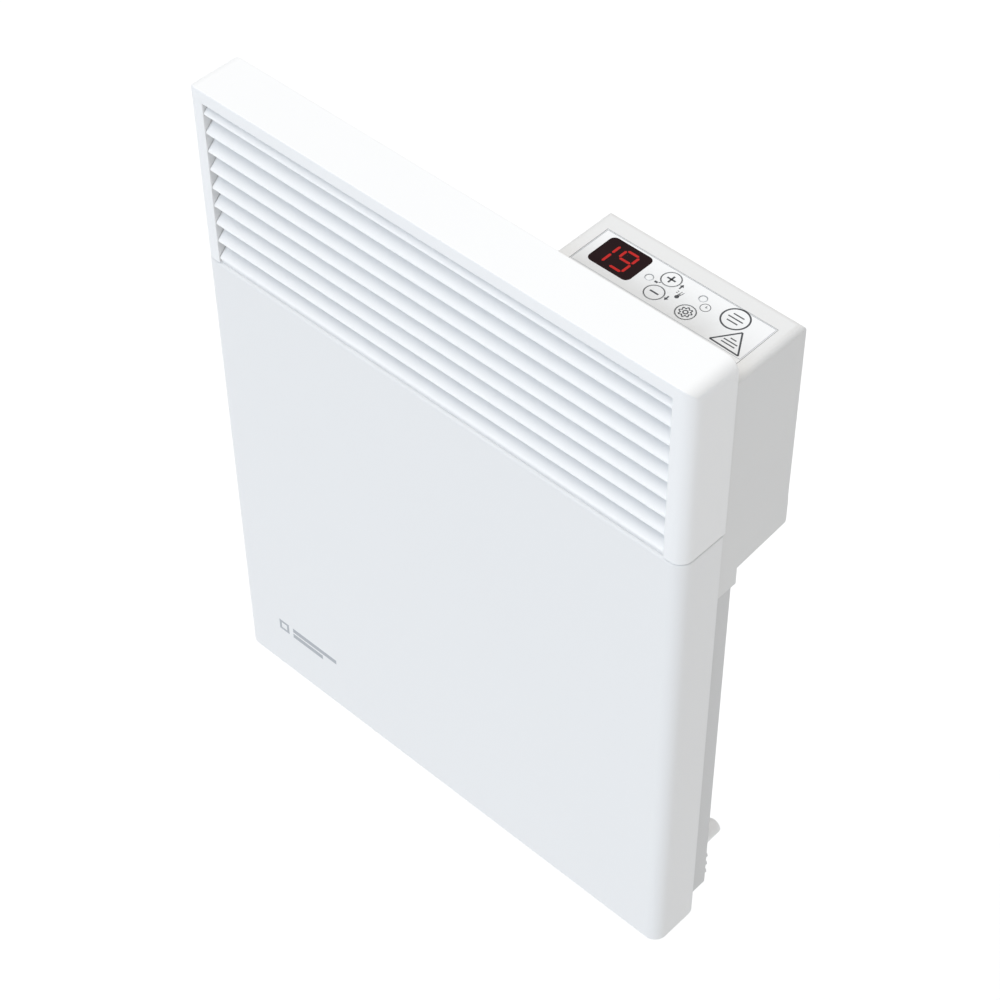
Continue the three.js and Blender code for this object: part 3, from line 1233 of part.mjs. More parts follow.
// A quarter-turn latch about Y: its locking bar inside the casing, and its lever behind the tab.
function latch() {
  const barRear = CASING_INSIDE - 2 * GAP;
  const leverFront = TAB_FRONT + BRACKET_SHEET + GAP;
  const leverRear = leverFront + LATCH_LEVER.thickness;
  const barFront = barRear - LATCH_BAR.thickness;
  const pin = rod("Y", [0, barFront, 0], LATCH_PIN, leverRear - barFront);
  const bar = block(span(0, LATCH_BAR.width), [barFront, barRear], span(0, LATCH_BAR.length));
  const lever = block(
    span(0, LATCH_LEVER.width),
    [leverFront, leverRear],
    [-LATCH_LEVER.length, LATCH_LEVER.width / 2],
  );
  return join([pin, bar, lever]);
}

function addBracket(group) {
  place(group, "wall_bracket", "galvanisedSteel", wallBracket());
  for (const [name, rail] of Object.entries(RAIL_STARTS)) {
    place(group, "bracket_latch_" + name, "plainSteel", latch(), [rail + LATCH_OFFSET, 0, ARM_Z]);
  }
}

// ---------------------------------------------------------------- the whole heater

function subgroup(parent, name, fill) {
  const group = new THREE.Group();
  group.name = name;
  fill(group);
  parent.add(group);
}

const heater = new THREE.Group();
heater.name = "panel_convector_heater";
subgroup(heater, "front", (group) => {
  place(group, "front_panel", "coatedSteel", frontPanel());
  place(group, "hood", "whiteMoulding", hood());
  place(group, "outlet_grille", "whiteMoulding", outletGrille());
});
subgroup(heater, "casing", (group) => {
  place(group, "back_casing", "coatedSteel", backCasing());
  addGland(group);
});
subgroup(heater, "controls", addControls);
subgroup(heater, "heating", addHeating);
subgroup(heater, "fasteners", addFasteners);
subgroup(heater, "bracket", addBracket);
heater.position.set(0, -DEPTH, -ARM_Z);

export default heater;
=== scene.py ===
import json
import math

import bmesh
import bpy
from mathutils import Matrix, Vector

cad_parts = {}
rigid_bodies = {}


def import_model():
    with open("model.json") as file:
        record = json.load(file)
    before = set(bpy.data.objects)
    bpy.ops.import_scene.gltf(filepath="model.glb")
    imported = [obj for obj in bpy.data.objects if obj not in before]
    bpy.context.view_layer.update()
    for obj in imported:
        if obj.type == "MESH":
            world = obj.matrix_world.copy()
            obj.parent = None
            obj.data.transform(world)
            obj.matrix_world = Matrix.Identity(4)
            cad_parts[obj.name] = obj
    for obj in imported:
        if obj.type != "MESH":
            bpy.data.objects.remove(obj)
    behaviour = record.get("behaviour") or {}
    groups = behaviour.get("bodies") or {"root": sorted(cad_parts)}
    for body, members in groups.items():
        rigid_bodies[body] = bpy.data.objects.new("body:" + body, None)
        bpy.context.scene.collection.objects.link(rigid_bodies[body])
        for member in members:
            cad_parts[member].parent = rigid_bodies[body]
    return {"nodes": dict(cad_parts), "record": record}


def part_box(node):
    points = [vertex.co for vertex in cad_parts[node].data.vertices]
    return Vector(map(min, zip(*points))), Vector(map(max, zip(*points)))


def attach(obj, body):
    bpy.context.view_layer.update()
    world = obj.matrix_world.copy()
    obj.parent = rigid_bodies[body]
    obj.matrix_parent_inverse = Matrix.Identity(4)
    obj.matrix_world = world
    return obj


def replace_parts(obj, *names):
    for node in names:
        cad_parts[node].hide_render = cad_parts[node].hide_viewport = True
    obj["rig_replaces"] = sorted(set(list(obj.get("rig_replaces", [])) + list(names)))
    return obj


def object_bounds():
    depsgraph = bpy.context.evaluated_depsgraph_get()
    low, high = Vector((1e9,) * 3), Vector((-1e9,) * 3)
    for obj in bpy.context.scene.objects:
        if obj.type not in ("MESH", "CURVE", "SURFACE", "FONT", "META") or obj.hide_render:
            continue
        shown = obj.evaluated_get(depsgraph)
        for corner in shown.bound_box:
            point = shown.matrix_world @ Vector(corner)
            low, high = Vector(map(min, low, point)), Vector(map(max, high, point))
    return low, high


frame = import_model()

# A wall-mounted panel convector heater. Metres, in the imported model's frame: +X to the right seen from the
# front, +Y into the wall, +Z up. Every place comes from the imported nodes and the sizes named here.

cad_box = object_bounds()
MM = 0.001

# ---------------------------------------------------------------- sizes

SEAM_GAP = 0.25 * MM
FIT_GAP = 0.3 * MM
COVER_CORNER = 8 * MM
HOOD_DEPTH = 32.8 * MM
HOOD_WALL = 2.3 * MM
HOOD_EDGE = 0.35 * MM
HOOD_FRAME_TOP = 8.2 * MM
REVEAL_DEPTH = 14 * MM
HOOD_BOSS = 3.2 * MM
SCREW_HEAD = 3.8 * MM  # from a hood boss's end to the rear of its screw's head
LAP_SETBACK = 1.8 * MM
LAP_THICKNESS = 2.2 * MM
PANEL_WALL = 1.2 * MM
PANEL_ROLLED_EDGE = 1.9 * MM
PANEL_BOTTOM_EDGE = 0.9 * MM
PANEL_REAR_CORNER = 2.6 * MM
LUG = Vector((20, 15.4, 1.2)) * MM
LUG_CORNER = 2 * MM
BLADE_COUNT = 9
BLADE_RISE = 12.6 * MM
BLADE_THICKNESS = 1.6 * MM
BLADE_NOSE = 0.6 * MM
BLADE_RIB = Vector((2, 3.5, 0)) * MM
BLADE_RIBS = 4
KEY_EDGE = 0.35 * MM
KEY_FLANGE = 0.7 * MM  # how far the flange stands out round the cap
KEY_CAP_HEIGHT = 3.1 * MM
KEY_FLANGE_THICKNESS = 1 * MM
KEY_STEM = 2 * MM
PRINT_THICKNESS = 0.06 * MM
PRINT_LINE = 0.32 * MM
KEY_RING = 4.95 * MM
LENS_SURROUND = 0.7 * MM
LENS_CORNER = 2.5 * MM
LENS_FLANGE = 1.2 * MM  # the lens's edge under the label
PRINT_OVERLAP = 0.05 * MM  # how far a print reaches over the edge of what it frames
BORDER_INSET = 0.5 * MM
# The border's front line sits further in, partly as print and partly as painted shade where the hood's rear
# edge meets the label.
BORDER_FRONT_LINE_SHADE_INSET = 7.0 * MM
LIGHT_EDGE = 0.25 * MM
LOUVRE_RISE = 1.4 * MM  # how far the casing's louvres stand out from its rear
GLAND_WALL = 1.4 * MM
GLAND_COLLAR = Vector((1.4, 1.4, 0)) * MM  # its reach round the sleeve, and its thickness at the rim
GLAND_NOSE = 1.2 * MM

# ---------------------------------------------------------------- finishes


class Value:
    """A number socket of a tree. Sums and products of values add their Math nodes."""

    def __init__(self, tree, socket):
        self.tree = tree
        self.socket = socket

    def math(self, operation, *others):
        return self.tree.node("Math", {"operation": operation}, [self, *others]).out()

    def __add__(self, other):
        return self.math("ADD", other)

    def __sub__(self, other):
        return self.math("SUBTRACT", other)

    def __rsub__(self, other):
        return self.tree.node("Math", {"operation": "SUBTRACT"}, [other, self]).out()

    def __mul__(self, other):
        return self.math("MULTIPLY", other)

    __radd__ = __add__
    __rmul__ = __mul__

    def between(self, low, high):
        """0 below low, 1 above high, and a smooth rise between them."""
        settings = {"interpolation_type": "SMOOTHSTEP"}
        sockets = {"Value": self, "From Min": low, "From Max": high}
        return self.tree.node("MapRange", settings, sockets).out()


class Node:
    """A shader node and its outputs."""

    def __init__(self, tree, node):
        self.tree = tree
        self.node = node

    def out(self, name=0):
        return Value(self.tree, self.node.outputs[name])


class NodeTree:
    """The emptied node tree of a material or a world."""

    def __init__(self, owner):
        owner.use_nodes = True
        self.nodes = owner.node_tree.nodes
        self.links = owner.node_tree.links
        self.nodes.clear()

    def node(self, kind, settings=None, sockets=()):
        """Adds a shader node, with its settings first and then the values or links of its sockets."""
        made = self.nodes.new("ShaderNode" + kind)
        for key, value in (settings or {}).items():
            setattr(made, key, value)
        pairs = sockets.items() if isinstance(sockets, dict) else enumerate(sockets)
        for key, value in pairs:
            if isinstance(value, Value):
                self.links.new(value.socket, made.inputs[key])
            else:
                made.inputs[key].default_value = value
        return Node(self, made)


class Finish(NodeTree):
    """A material made of nodes on object coordinates."""

    def __init__(self, name):
        self.material = bpy.data.materials.new(name)
        super().__init__(self.material)
        self.place = self.node("TexCoord").out("Object")

    def stretched(self, scale, turn=(0, 0, 0)):
        """The object's own coordinates, scaled along each axis."""
        return self.node("Mapping", None, {"Vector": self.place, "Scale": scale, "Rotation": turn}).out()

    def noise(self, scale, detail=2, roughness=0.5, place=None):
        sockets = {"Vector": place or self.place, "Scale": scale, "Detail": detail, "Roughness": roughness}
        return self.node("TexNoise", None, sockets).out(0)

    def cells(self, scale, feature="F1", place=None):
        sockets = {"Vector": place or self.place, "Scale": scale}
        return self.node("TexVoronoi", {"feature": feature}, sockets)

    def axis(self, name):
        return self.node("SeparateXYZ", None, [self.place]).out(name)

    def colours(self, share, first, second):
        """first where share is 0, second where it is 1. Either may be a colour or a link."""
        sockets = {0: share, 6: with_alpha(first), 7: with_alpha(second)}
        return self.node("Mix", {"data_type": "RGBA"}, sockets).out(2)

    def surface(self, colour, roughness, metallic=0.0, height=None, depth=0.0, **uniform):
        """Ends the finish in a Principled shader. depth is the relief of a height of 1, in metres."""
        sockets = {
            "Base Color": with_alpha(colour),
            "Roughness": roughness,
            "Metallic": metallic,
        }
        if height is not None:
            bump = {"Strength": 1.0, "Distance": depth, "Height": height}
            sockets["Normal"] = self.node("Bump", None, bump).out()
        sockets.update({name.replace("_", " "): value for name, value in uniform.items()})
        shader = self.node("BsdfPrincipled", None, sockets).out()
        self.node("OutputMaterial", None, [shader])
        return self.material


def with_alpha(colour):
    return colour if isinstance(colour, Value) else (*colour, 1)


def powder_coat():
    """Satin powder coat on sheet steel, white, with a faint orange peel."""
    finish = Finish("powder_coat")
    peel = finish.noise(620, detail=1)
    grain = finish.noise(2600, detail=1)
    drift = finish.noise(7, detail=2)
    colour = finish.colours(drift, (0.806, 0.808, 0.810), (0.820, 0.822, 0.824))
    return finish.surface(
        colour, 0.36 + 0.12 * grain, height=peel + 0.35 * grain, depth=0.02 * MM, Specular_IOR_Level=0.42
    )


def white_moulding():
    """Satin moulded plastic, warm white, with a fine spark-eroded texture."""
    finish = Finish("white_moulding")
    spark = finish.noise(3200, detail=2, roughness=0.6)
    drift = finish.noise(11, detail=2)
    colour = finish.colours(drift, (0.868, 0.870, 0.872), (0.886, 0.887, 0.888))
    roughness = 0.38 + 0.14 * spark
    return finish.surface(colour, roughness, height=spark, depth=0.016 * MM, Specular_IOR_Level=0.4)


def housing_moulding():
    """The control housing's plastic: a slightly greyer batch, with the same fine texture."""
    finish = Finish("housing_moulding")
    spark = finish.noise(3000, detail=2, roughness=0.6)
    drift = finish.noise(14, detail=2)
    colour = finish.colours(drift, (0.740, 0.740, 0.737), (0.762, 0.762, 0.758))
    roughness = 0.40 + 0.14 * spark
    return finish.surface(colour, roughness, height=spark, depth=0.018 * MM, Specular_IOR_Level=0.4)


def casing_coat():
    """The casing's thinner coat, greyer than the front and with the sheet's grain showing through."""
    finish = Finish("casing_coat")
    peel = finish.noise(700, detail=1)
    rolled = finish.noise(260, detail=2, place=finish.stretched((0.08, 1, 1)))
    colour = finish.colours(rolled, (0.626, 0.628, 0.630), (0.650, 0.652, 0.654))
    return finish.surface(
        colour, 0.38 + 0.12 * rolled, height=peel + 0.4 * rolled, depth=0.02 * MM, Specular_IOR_Level=0.42
    )


def grille_moulding_painted_light():
    """The white moulding on the blades, made a little brighter as painted light that lifts the shade between
    them, and smoother along their length.
    """
    finish = Finish("grille_moulding_painted_light")
    flow = finish.noise(60, detail=2, place=finish.stretched((0.25, 4, 4)))
    spark = finish.noise(3200, detail=2, roughness=0.6)
    # Painted light: the blades' colour is lighter than the white moulding's, to lift the shade between them.
    colour = finish.colours(flow, (0.940, 0.940, 0.938), (0.956, 0.955, 0.953))
    roughness = 0.34 + 0.12 * spark
    return finish.surface(colour, roughness, height=spark, depth=0.012 * MM, Specular_IOR_Level=0.4)


def label_film_painted_shade():
    """Silver-white film with a pearl grain, with painted shade: its colour darkens towards the front, less
    so at the right.
    """
    finish = Finish("label_film_painted_shade")
    low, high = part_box("control_label")
    width = high.x - low.x
    # Painted shade: the colour falls from light at the rear to grey at the front, less at the right end.
    forward = 1 - finish.axis("Y").between(low.y + 4 * MM, high.y)
    right = finish.axis("X").between(low.x + 0.72 * width, low.x + 0.92 * width)
    pearl = finish.noise(2400, detail=3, roughness=0.7)
    painted_shade = forward * (1 - 0.6 * right)
    base = finish.colours(painted_shade, (0.85, 0.855, 0.86), (0.665, 0.67, 0.675))
    colour = finish.colours(0.2 * pearl, base, (0.86, 0.87, 0.88))
    roughness = 0.34 + 0.14 * pearl
    return finish.surface(colour, roughness, height=pearl, depth=0.006 * MM, Specular_IOR_Level=0.35)


def smoked_lens():
    """Dark red-brown display lens, glossy, with faint moulding flow."""
    finish = Finish("smoked_lens")
    flow = finish.noise(90, detail=2)
    colour = finish.colours(flow, (0.012, 0.004, 0.005), (0.019, 0.007, 0.008))
    return finish.surface(colour, 0.16 + 0.08 * flow, Specular_IOR_Level=0.22)


def lit_segment():
    """A lit red segment, a little uneven, as seen through the lens."""
    finish = Finish("lit_segment")
    glow = finish.noise(900, detail=2)
    colour = finish.colours(glow, (0.36, 0.010, 0.010), (0.52, 0.028, 0.024))
    lit = {"Emission_Color": colour, "Emission_Strength": 0.12}
    return finish.surface(colour, 0.3, Specular_IOR_Level=0.2, **lit)


def printed_ink():
    """Dark grey printing ink with a slightly broken edge tone."""
    finish = Finish("printed_ink")
    grain = finish.noise(5200, detail=2)
    colour = finish.colours(grain, (0.045, 0.048, 0.054), (0.085, 0.088, 0.096))
    return finish.surface(colour, 0.45 + 0.15 * grain)


def pale_ink():
    """Mid grey ink of the label's border, the rings round the lights and the mark on the front."""
    finish = Finish("pale_ink")
    grain = finish.noise(4200, detail=2)
    colour = finish.colours(grain, (0.36, 0.38, 0.41), (0.46, 0.48, 0.51))
    return finish.surface(colour, 0.36 + 0.12 * grain, 0.15)


def frosted_light():
    """Frosted clear light pipe."""
    finish = Finish("frosted_light")
    frost = finish.noise(2600, detail=3)
    colour = finish.colours(frost, (0.78, 0.79, 0.80), (0.87, 0.88, 0.88))
    return finish.surface(colour, 0.25 + 0.2 * frost, height=frost, depth=0.01 * MM)


def moulded(name, dark, light, roughness=0.42, grain_scale=2800):
    """A plain moulded plastic with a fine texture."""
    finish = Finish(name)
    grain = finish.noise(grain_scale, detail=3, roughness=0.6)
    colour = finish.colours(grain, dark, light)
    return finish.surface(colour, roughness + 0.15 * grain, height=grain, depth=0.012 * MM)


def circuit_board():
    """Green solder mask over copper tracks, with vias."""
    finish = Finish("circuit_board")
    track_place = finish.stretched((1, 1, 1), (0, 0, 0.785))
    wide = finish.cells(150, "DISTANCE_TO_EDGE", finish.stretched((1, 0.6, 1))).out("Distance")
    fine = finish.cells(420, "DISTANCE_TO_EDGE", track_place).out("Distance")
    tracks = 1 - wide.between(0.05, 0.09) * fine.between(0.06, 0.12)
    via = 1 - finish.cells(190).out("Distance").between(0.10, 0.16)
    mask = finish.colours(tracks, (0.012, 0.115, 0.045), (0.030, 0.200, 0.080))
    colour = finish.colours(via, mask, (0.52, 0.47, 0.32))
    return finish.surface(colour, 0.32 + 0.2 * via, 0.7 * via, height=tracks + via, depth=0.03 * MM)


def winding_tape():
    """Yellow polyester tape wound in overlapping turns."""
    finish = Finish("winding_tape")
    turns = finish.node(
        "TexWave",
        {"wave_type": "BANDS", "bands_direction": "X", "wave_profile": "SAW"},
        {"Vector": finish.place, "Scale": 55, "Distortion": 0.3},
    ).out("Fac")
    colour = finish.colours(turns, (0.62, 0.42, 0.045), (0.76, 0.55, 0.090))
    return finish.surface(colour, 0.3 + 0.1 * turns, height=turns, depth=0.05 * MM, Coat_Weight=0.2)


def extruded_aluminium():
    """Matt extruded aluminium with die lines along the element."""
    finish = Finish("extruded_aluminium")
    lines = finish.noise(900, detail=3, place=finish.stretched((0.01, 1, 1)))
    cloud = finish.noise(40, detail=2)
    colour = finish.colours(cloud, (0.60, 0.61, 0.62), (0.72, 0.73, 0.74))
    return finish.surface(colour, 0.32 + 0.2 * lines, 1.0, height=lines, depth=0.02 * MM)


def zinc_plated():
    """Bright zinc-plated steel with light handling marks."""
    finish = Finish("zinc_plated")
    haze = finish.noise(160, detail=4, roughness=0.65)
    turned = finish.noise(2200, detail=2)
    colour = finish.colours(haze, (0.55, 0.56, 0.58), (0.70, 0.71, 0.72))
    return finish.surface(colour, 0.22 + 0.24 * haze, 1.0, height=turned, depth=0.006 * MM)


def galvanised():
    """Hot-dip galvanised sheet: spangle with a dull bloom."""
    finish = Finish("galvanised_sheet")
    spangle = finish.cells(110).out("Color")
    tone = finish.node("SeparateColor", None, [spangle]).out(0)
    bloom = finish.noise(35, detail=4)
    mottled = 0.6 * tone + 0.4 * bloom
    colour = finish.colours(mottled, (0.50, 0.52, 0.54), (0.74, 0.76, 0.77))
    return finish.surface(colour, 0.30 + 0.22 * mottled, 0.95, height=tone, depth=0.008 * MM)


def steatite():
    """Unglazed steatite ceramic with fine pores."""
    finish = Finish("steatite")
    pores = finish.cells(1500).out("Distance")
    cloud = finish.noise(120, detail=3)
    colour = finish.colours(cloud, (0.74, 0.70, 0.62), (0.84, 0.81, 0.74))
    return finish.surface(colour, 0.55 + 0.1 * cloud, height=pores, depth=0.03 * MM)


def braided_sleeve():
    """White glass-fibre sleeve over silicone wire."""
    finish = Finish("braided_sleeve")
    one = finish.noise(700, detail=1, place=finish.stretched((1, 1, 3), (0.6, 0.6, 0)))
    other = finish.noise(700, detail=1, place=finish.stretched((1, 1, 3), (-0.6, -0.6, 0)))
    weave = one.math("MAXIMUM", other)
    colour = finish.colours(weave, (0.52, 0.50, 0.46), (0.80, 0.78, 0.73))
    return finish.surface(colour, 0.62 + 0.1 * weave, height=weave, depth=0.12 * MM)


FINISHES = {
    "coated_steel": powder_coat(),
    "white_moulding": white_moulding(),
    "label": label_film_painted_shade(),
    "dark_window": smoked_lens(),
    "black_plastic": moulded("black_moulding", (0.012, 0.012, 0.013), (0.024, 0.024, 0.026)),
    "clear_light": frosted_light(),
    "circuit_board": circuit_board(),
    "blue_plastic": moulded("relay_case", (0.020, 0.085, 0.270), (0.035, 0.120, 0.350)),
    "yellow_tape": winding_tape(),
    "grey_plastic": moulded("grey_nylon", (0.240, 0.245, 0.250), (0.330, 0.335, 0.340)),
    "aluminium": extruded_aluminium(),
    "plain_steel": zinc_plated(),
    "galvanised_steel": galvanised(),
    "ceramic": steatite(),
    "silicone": braided_sleeve(),
}
# The blades' finish carries painted light: a brighter copy of the white moulding.
GRILLE_PAINTED_LIGHT = grille_moulding_painted_light()
HOUSING = housing_moulding()
CASING = casing_coat()
INK = printed_ink()
PALE_INK = pale_ink()
LIT = lit_segment()
SLOTS = {part["node"]: part["material_slot"] for part in frame["record"]["subparts"]}
BODIES = {
    node: body for body, nodes in frame["record"]["behaviour"]["bodies"].items() for node in nodes
}

# ---------------------------------------------------------------- shaping

SMOOTH_ANGLE = math.radians(32)
SAME_PLACE = 1e-6  # metres
ALONG_AXIS = 0.999  # a normal's share along the axis that its face looks along


def piece(name, bm, nodes=(), body=None, slot=None, material=None):
    """Makes the mesh an object in place, with soft shading, on its body, in its finish."""
    mesh = bpy.data.meshes.new(name)
    for face in bm.faces:
        face.smooth = True
    for edge in bm.edges:
        edge.smooth = len(edge.link_faces) == 2 and edge.calc_face_angle(0) < SMOOTH_ANGLE
    bm.to_mesh(mesh)
    bm.free()
    made = bpy.data.objects.new(name, mesh)
    bpy.context.scene.collection.objects.link(made)
    slot = slot or SLOTS[nodes[0]]
    mesh.materials.append(material or FINISHES[slot])
    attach(made, body or (BODIES[nodes[0]] if nodes else "root"))
    if nodes:
        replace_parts(made, *nodes)
    return made


def even_shading(made):
    """Keeps broad faces flat beside their rounded edges."""
    weighted = made.modifiers.new("even_shading", "WEIGHTED_NORMAL")
    weighted.keep_sharp = True
    return made


def add_block(bm, low, high):
    low, high = Vector(low), Vector(high)
    verts = bmesh.ops.create_cube(bm, size=1)["verts"]
    bmesh.ops.scale(bm, vec=high - low, verts=verts)
    bmesh.ops.translate(bm, vec=(low + high) / 2, verts=verts)
    return verts


def round_edges(bm, edges, radius, segments=3):
    return bmesh.ops.bevel(
        bm,
        geom=list(edges),
        offset=radius,
        offset_type="OFFSET",
        segments=segments,
        profile=0.5,
        affect="EDGES",
        clamp_overlap=True,
        material=-1,
    )


def at(value, place):
    return abs(value - place) < SAME_PLACE


def edges_where(bm, test):
    """The edges both of whose ends pass a test."""
    return [edge for edge in bm.edges if all(test(vert.co) for vert in edge.verts)]


def delete_faces(bm, test):
    doomed = [face for face in bm.faces if test(face)]
    bmesh.ops.delete(bm, geom=doomed, context="FACES")


def cut_plane(bm, faces, place, normal):
    """Splits the given faces where a plane crosses them."""
    geom = {item for face in faces for item in (face, *face.edges, *face.verts)}
    bmesh.ops.bisect_plane(bm, geom=list(geom), dist=1e-7, plane_co=place, plane_no=normal)


def thicken(bm, thickness):
    """Gives an open shell its wall, inwards."""
    bmesh.ops.recalc_face_normals(bm, faces=bm.faces)
    bmesh.ops.solidify(bm, geom=list(bm.faces), thickness=thickness)


def spun(profile, axis, centre, steps=48):
    """A solid of revolution from (radius, height) points, about an axis through a centre."""
    bm = bmesh.new()
    side = Vector((1, 0, 0))
    verts = [bm.verts.new(centre + side * radius + axis * height) for radius, height in profile]
    edges = [bm.edges.new(pair) for pair in zip(verts, verts[1:])]
    bmesh.ops.spin(
        bm, geom=verts + edges, cent=centre, axis=axis, angle=2 * math.pi, steps=steps, use_merge=True
    )
    bmesh.ops.remove_doubles(bm, verts=bm.verts, dist=1e-7)
    bmesh.ops.recalc_face_normals(bm, faces=bm.faces)
    return bm


def refined(node, radius, segments=2, least_angle=35, material=None):
    """The node's own shape with its edges sharper than least_angle degrees broken, in its finish."""
    bm = bmesh.new()
    bm.from_mesh(frame["nodes"][node].data)
    bmesh.ops.remove_doubles(bm, verts=bm.verts, dist=2e-6)
    bmesh.ops.dissolve_limit(
        bm, angle_limit=math.radians(1), use_dissolve_boundaries=False, verts=bm.verts, edges=bm.edges
    )
    sharp = [
        edge
        for edge in bm.edges
        if len(edge.link_faces) == 2 and edge.calc_face_angle(0) > math.radians(least_angle)
    ]
    if radius and sharp:
        round_edges(bm, sharp, radius, segments)
    made = piece(node + "_finished", bm, [node], material=material)
    return even_shading(made)


def centre(node):
    low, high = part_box(node)
    return (low + high) / 2


def looks_forward(face):
    return face.normal.y < -ALONG_AXIS


def along_x(edge):
    return not at(edge.verts[0].co.x, edge.verts[1].co.x)


# ---------------------------------------------------------------- front


def cover_block(low, high):
    """A block, and the upright edges at its front."""
    bm = bmesh.new()
    add_block(bm, low, high)
    upright = [edge for edge in edges_where(bm, lambda co: at(co.y, low.y)) if not along_x(edge)]
    return bm, upright


def front_panel():
    """The steel front: rounded corners, rolled upper edge, open at the back, two screw lugs below."""
    low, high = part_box("front_panel")
    bm, upright = cover_block(low, high)
    rear_foot = edges_where(bm, lambda co: at(co.y, high.y) and at(co.z, low.z))
    round_edges(bm, rear_foot, PANEL_REAR_CORNER, 4)
    round_edges(bm, upright, COVER_CORNER, 10)
    for level, radius, segments in ((high.z, PANEL_ROLLED_EDGE, 4), (low.z, PANEL_BOTTOM_EDGE, 3)):
        rear = max(vert.co.y for vert in bm.verts if at(vert.co.z, level))
        around = edges_where(bm, lambda co: at(co.z, level))
        rim = [edge for edge in around if not all(at(vert.co.y, rear) for vert in edge.verts)]
        round_edges(bm, rim, radius, segments)
    # The rear and its rounded foot go, and the sides stay.
    delete_faces(bm, lambda face: face.normal.y > 0.05 and abs(face.normal.x) < 0.02)
    delete_faces(bm, lambda face: abs(face.normal.z) > ALONG_AXIS)
    thicken(bm, PANEL_WALL)
    for side in ("left", "right"):
        screw_low, screw_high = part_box("panel_screw_" + side)
        middle = (screw_low.x + screw_high.x) / 2
        bottom = screw_low.z + (screw_high.z - screw_low.z) * 0.2 + FIT_GAP
        start = Vector((middle - LUG.x / 2, low.y + PANEL_WALL / 2, bottom))
        plate = add_block(bm, start, start + LUG)
        corners = [
            edge
            for edge in {edge for vert in plate for edge in vert.link_edges}
            if at(edge.verts[0].co.x, edge.verts[1].co.x) and at(edge.verts[0].co.y, edge.verts[1].co.y)
        ]
        round_edges(bm, corners, LUG_CORNER)
    return even_shading(piece("front_panel_skin", bm, ["front_panel"]))


def add_bosses(bm, front):
    """The round posts that the hood's four screws hold, from its front wall back."""
    turn = Matrix.Rotation(math.pi / 2, 4, "X")
    for side in ("left", "right"):
        for level in ("lower", "upper"):
            screw = f"hood_screw_{side}_{level}"
            middle = centre(screw)
            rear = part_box(screw)[1].y - SCREW_HEAD
            place = Matrix.Translation((middle.x, (front + rear) / 2, middle.z))
            sizes = {"radius1": HOOD_BOSS, "radius2": HOOD_BOSS, "depth": rear - front}
            bmesh.ops.create_cone(bm, cap_ends=True, segments=24, matrix=place @ turn, **sizes)


def hood():
    """The moulded top: rounded corners, the outlet opening, its side reveals, its lower rail and bosses."""
    low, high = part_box("hood")
    panel_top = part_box("front_panel")[1].z
    grille_low, grille_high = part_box("outlet_grille")
    start = Vector((low.x, low.y, panel_top + SEAM_GAP))
    end = Vector((high.x, low.y + HOOD_DEPTH, high.z))
    bm, upright = cover_block(start, end)
    side_tops = [edge for edge in edges_where(bm, lambda co: at(co.z, end.z)) if not along_x(edge)]
    round_edges(bm, upright + side_tops, COVER_CORNER, 10)
    delete_faces(bm, lambda face: face.normal.y > ALONG_AXIS or face.normal.z < -ALONG_AXIS)
    half = grille_high.x + FIT_GAP
    opening_top = end.z - HOOD_FRAME_TOP
    planes = (
        ((-half, 0, 0), (1, 0, 0)),
        ((half, 0, 0), (1, 0, 0)),
        ((0, 0, opening_top), (0, 0, 1)),
    )
    for place, normal in planes:
        cut_plane(bm, [face for face in bm.faces if looks_forward(face)], place, normal)

    def in_opening(face):
        middle = face.calc_center_median()
        return looks_forward(face) and abs(middle.x) < half and middle.z < opening_top

    delete_faces(bm, in_opening)
    for side in (-half, half):
        reveal = edges_where(
            bm, lambda co: at(co.x, side) and at(co.y, start.y) and co.z < opening_top + MM
        )
        new = bmesh.ops.extrude_edge_only(bm, edges=reveal)["geom"]
        moved = [item for item in new if isinstance(item, bmesh.types.BMVert)]
        bmesh.ops.translate(bm, vec=(0, REVEAL_DEPTH, 0), verts=moved)
    thicken(bm, HOOD_WALL)
    lap = half + HOOD_WALL
    add_block(
        bm,
        (-lap, start.y + LAP_SETBACK, low.z),
        (lap, start.y + LAP_SETBACK + LAP_THICKNESS, grille_low.z - FIT_GAP),
    )
    add_bosses(bm, start.y + HOOD_WALL / 2)
    made = piece("hood_shell", bm, ["hood"])
    soften = made.modifiers.new("broken_edges", "BEVEL")
    soften.width = HOOD_EDGE
    soften.segments = 2
    soften.limit_method = "ANGLE"
    soften.angle_limit = math.radians(50)
    return even_shading(made)


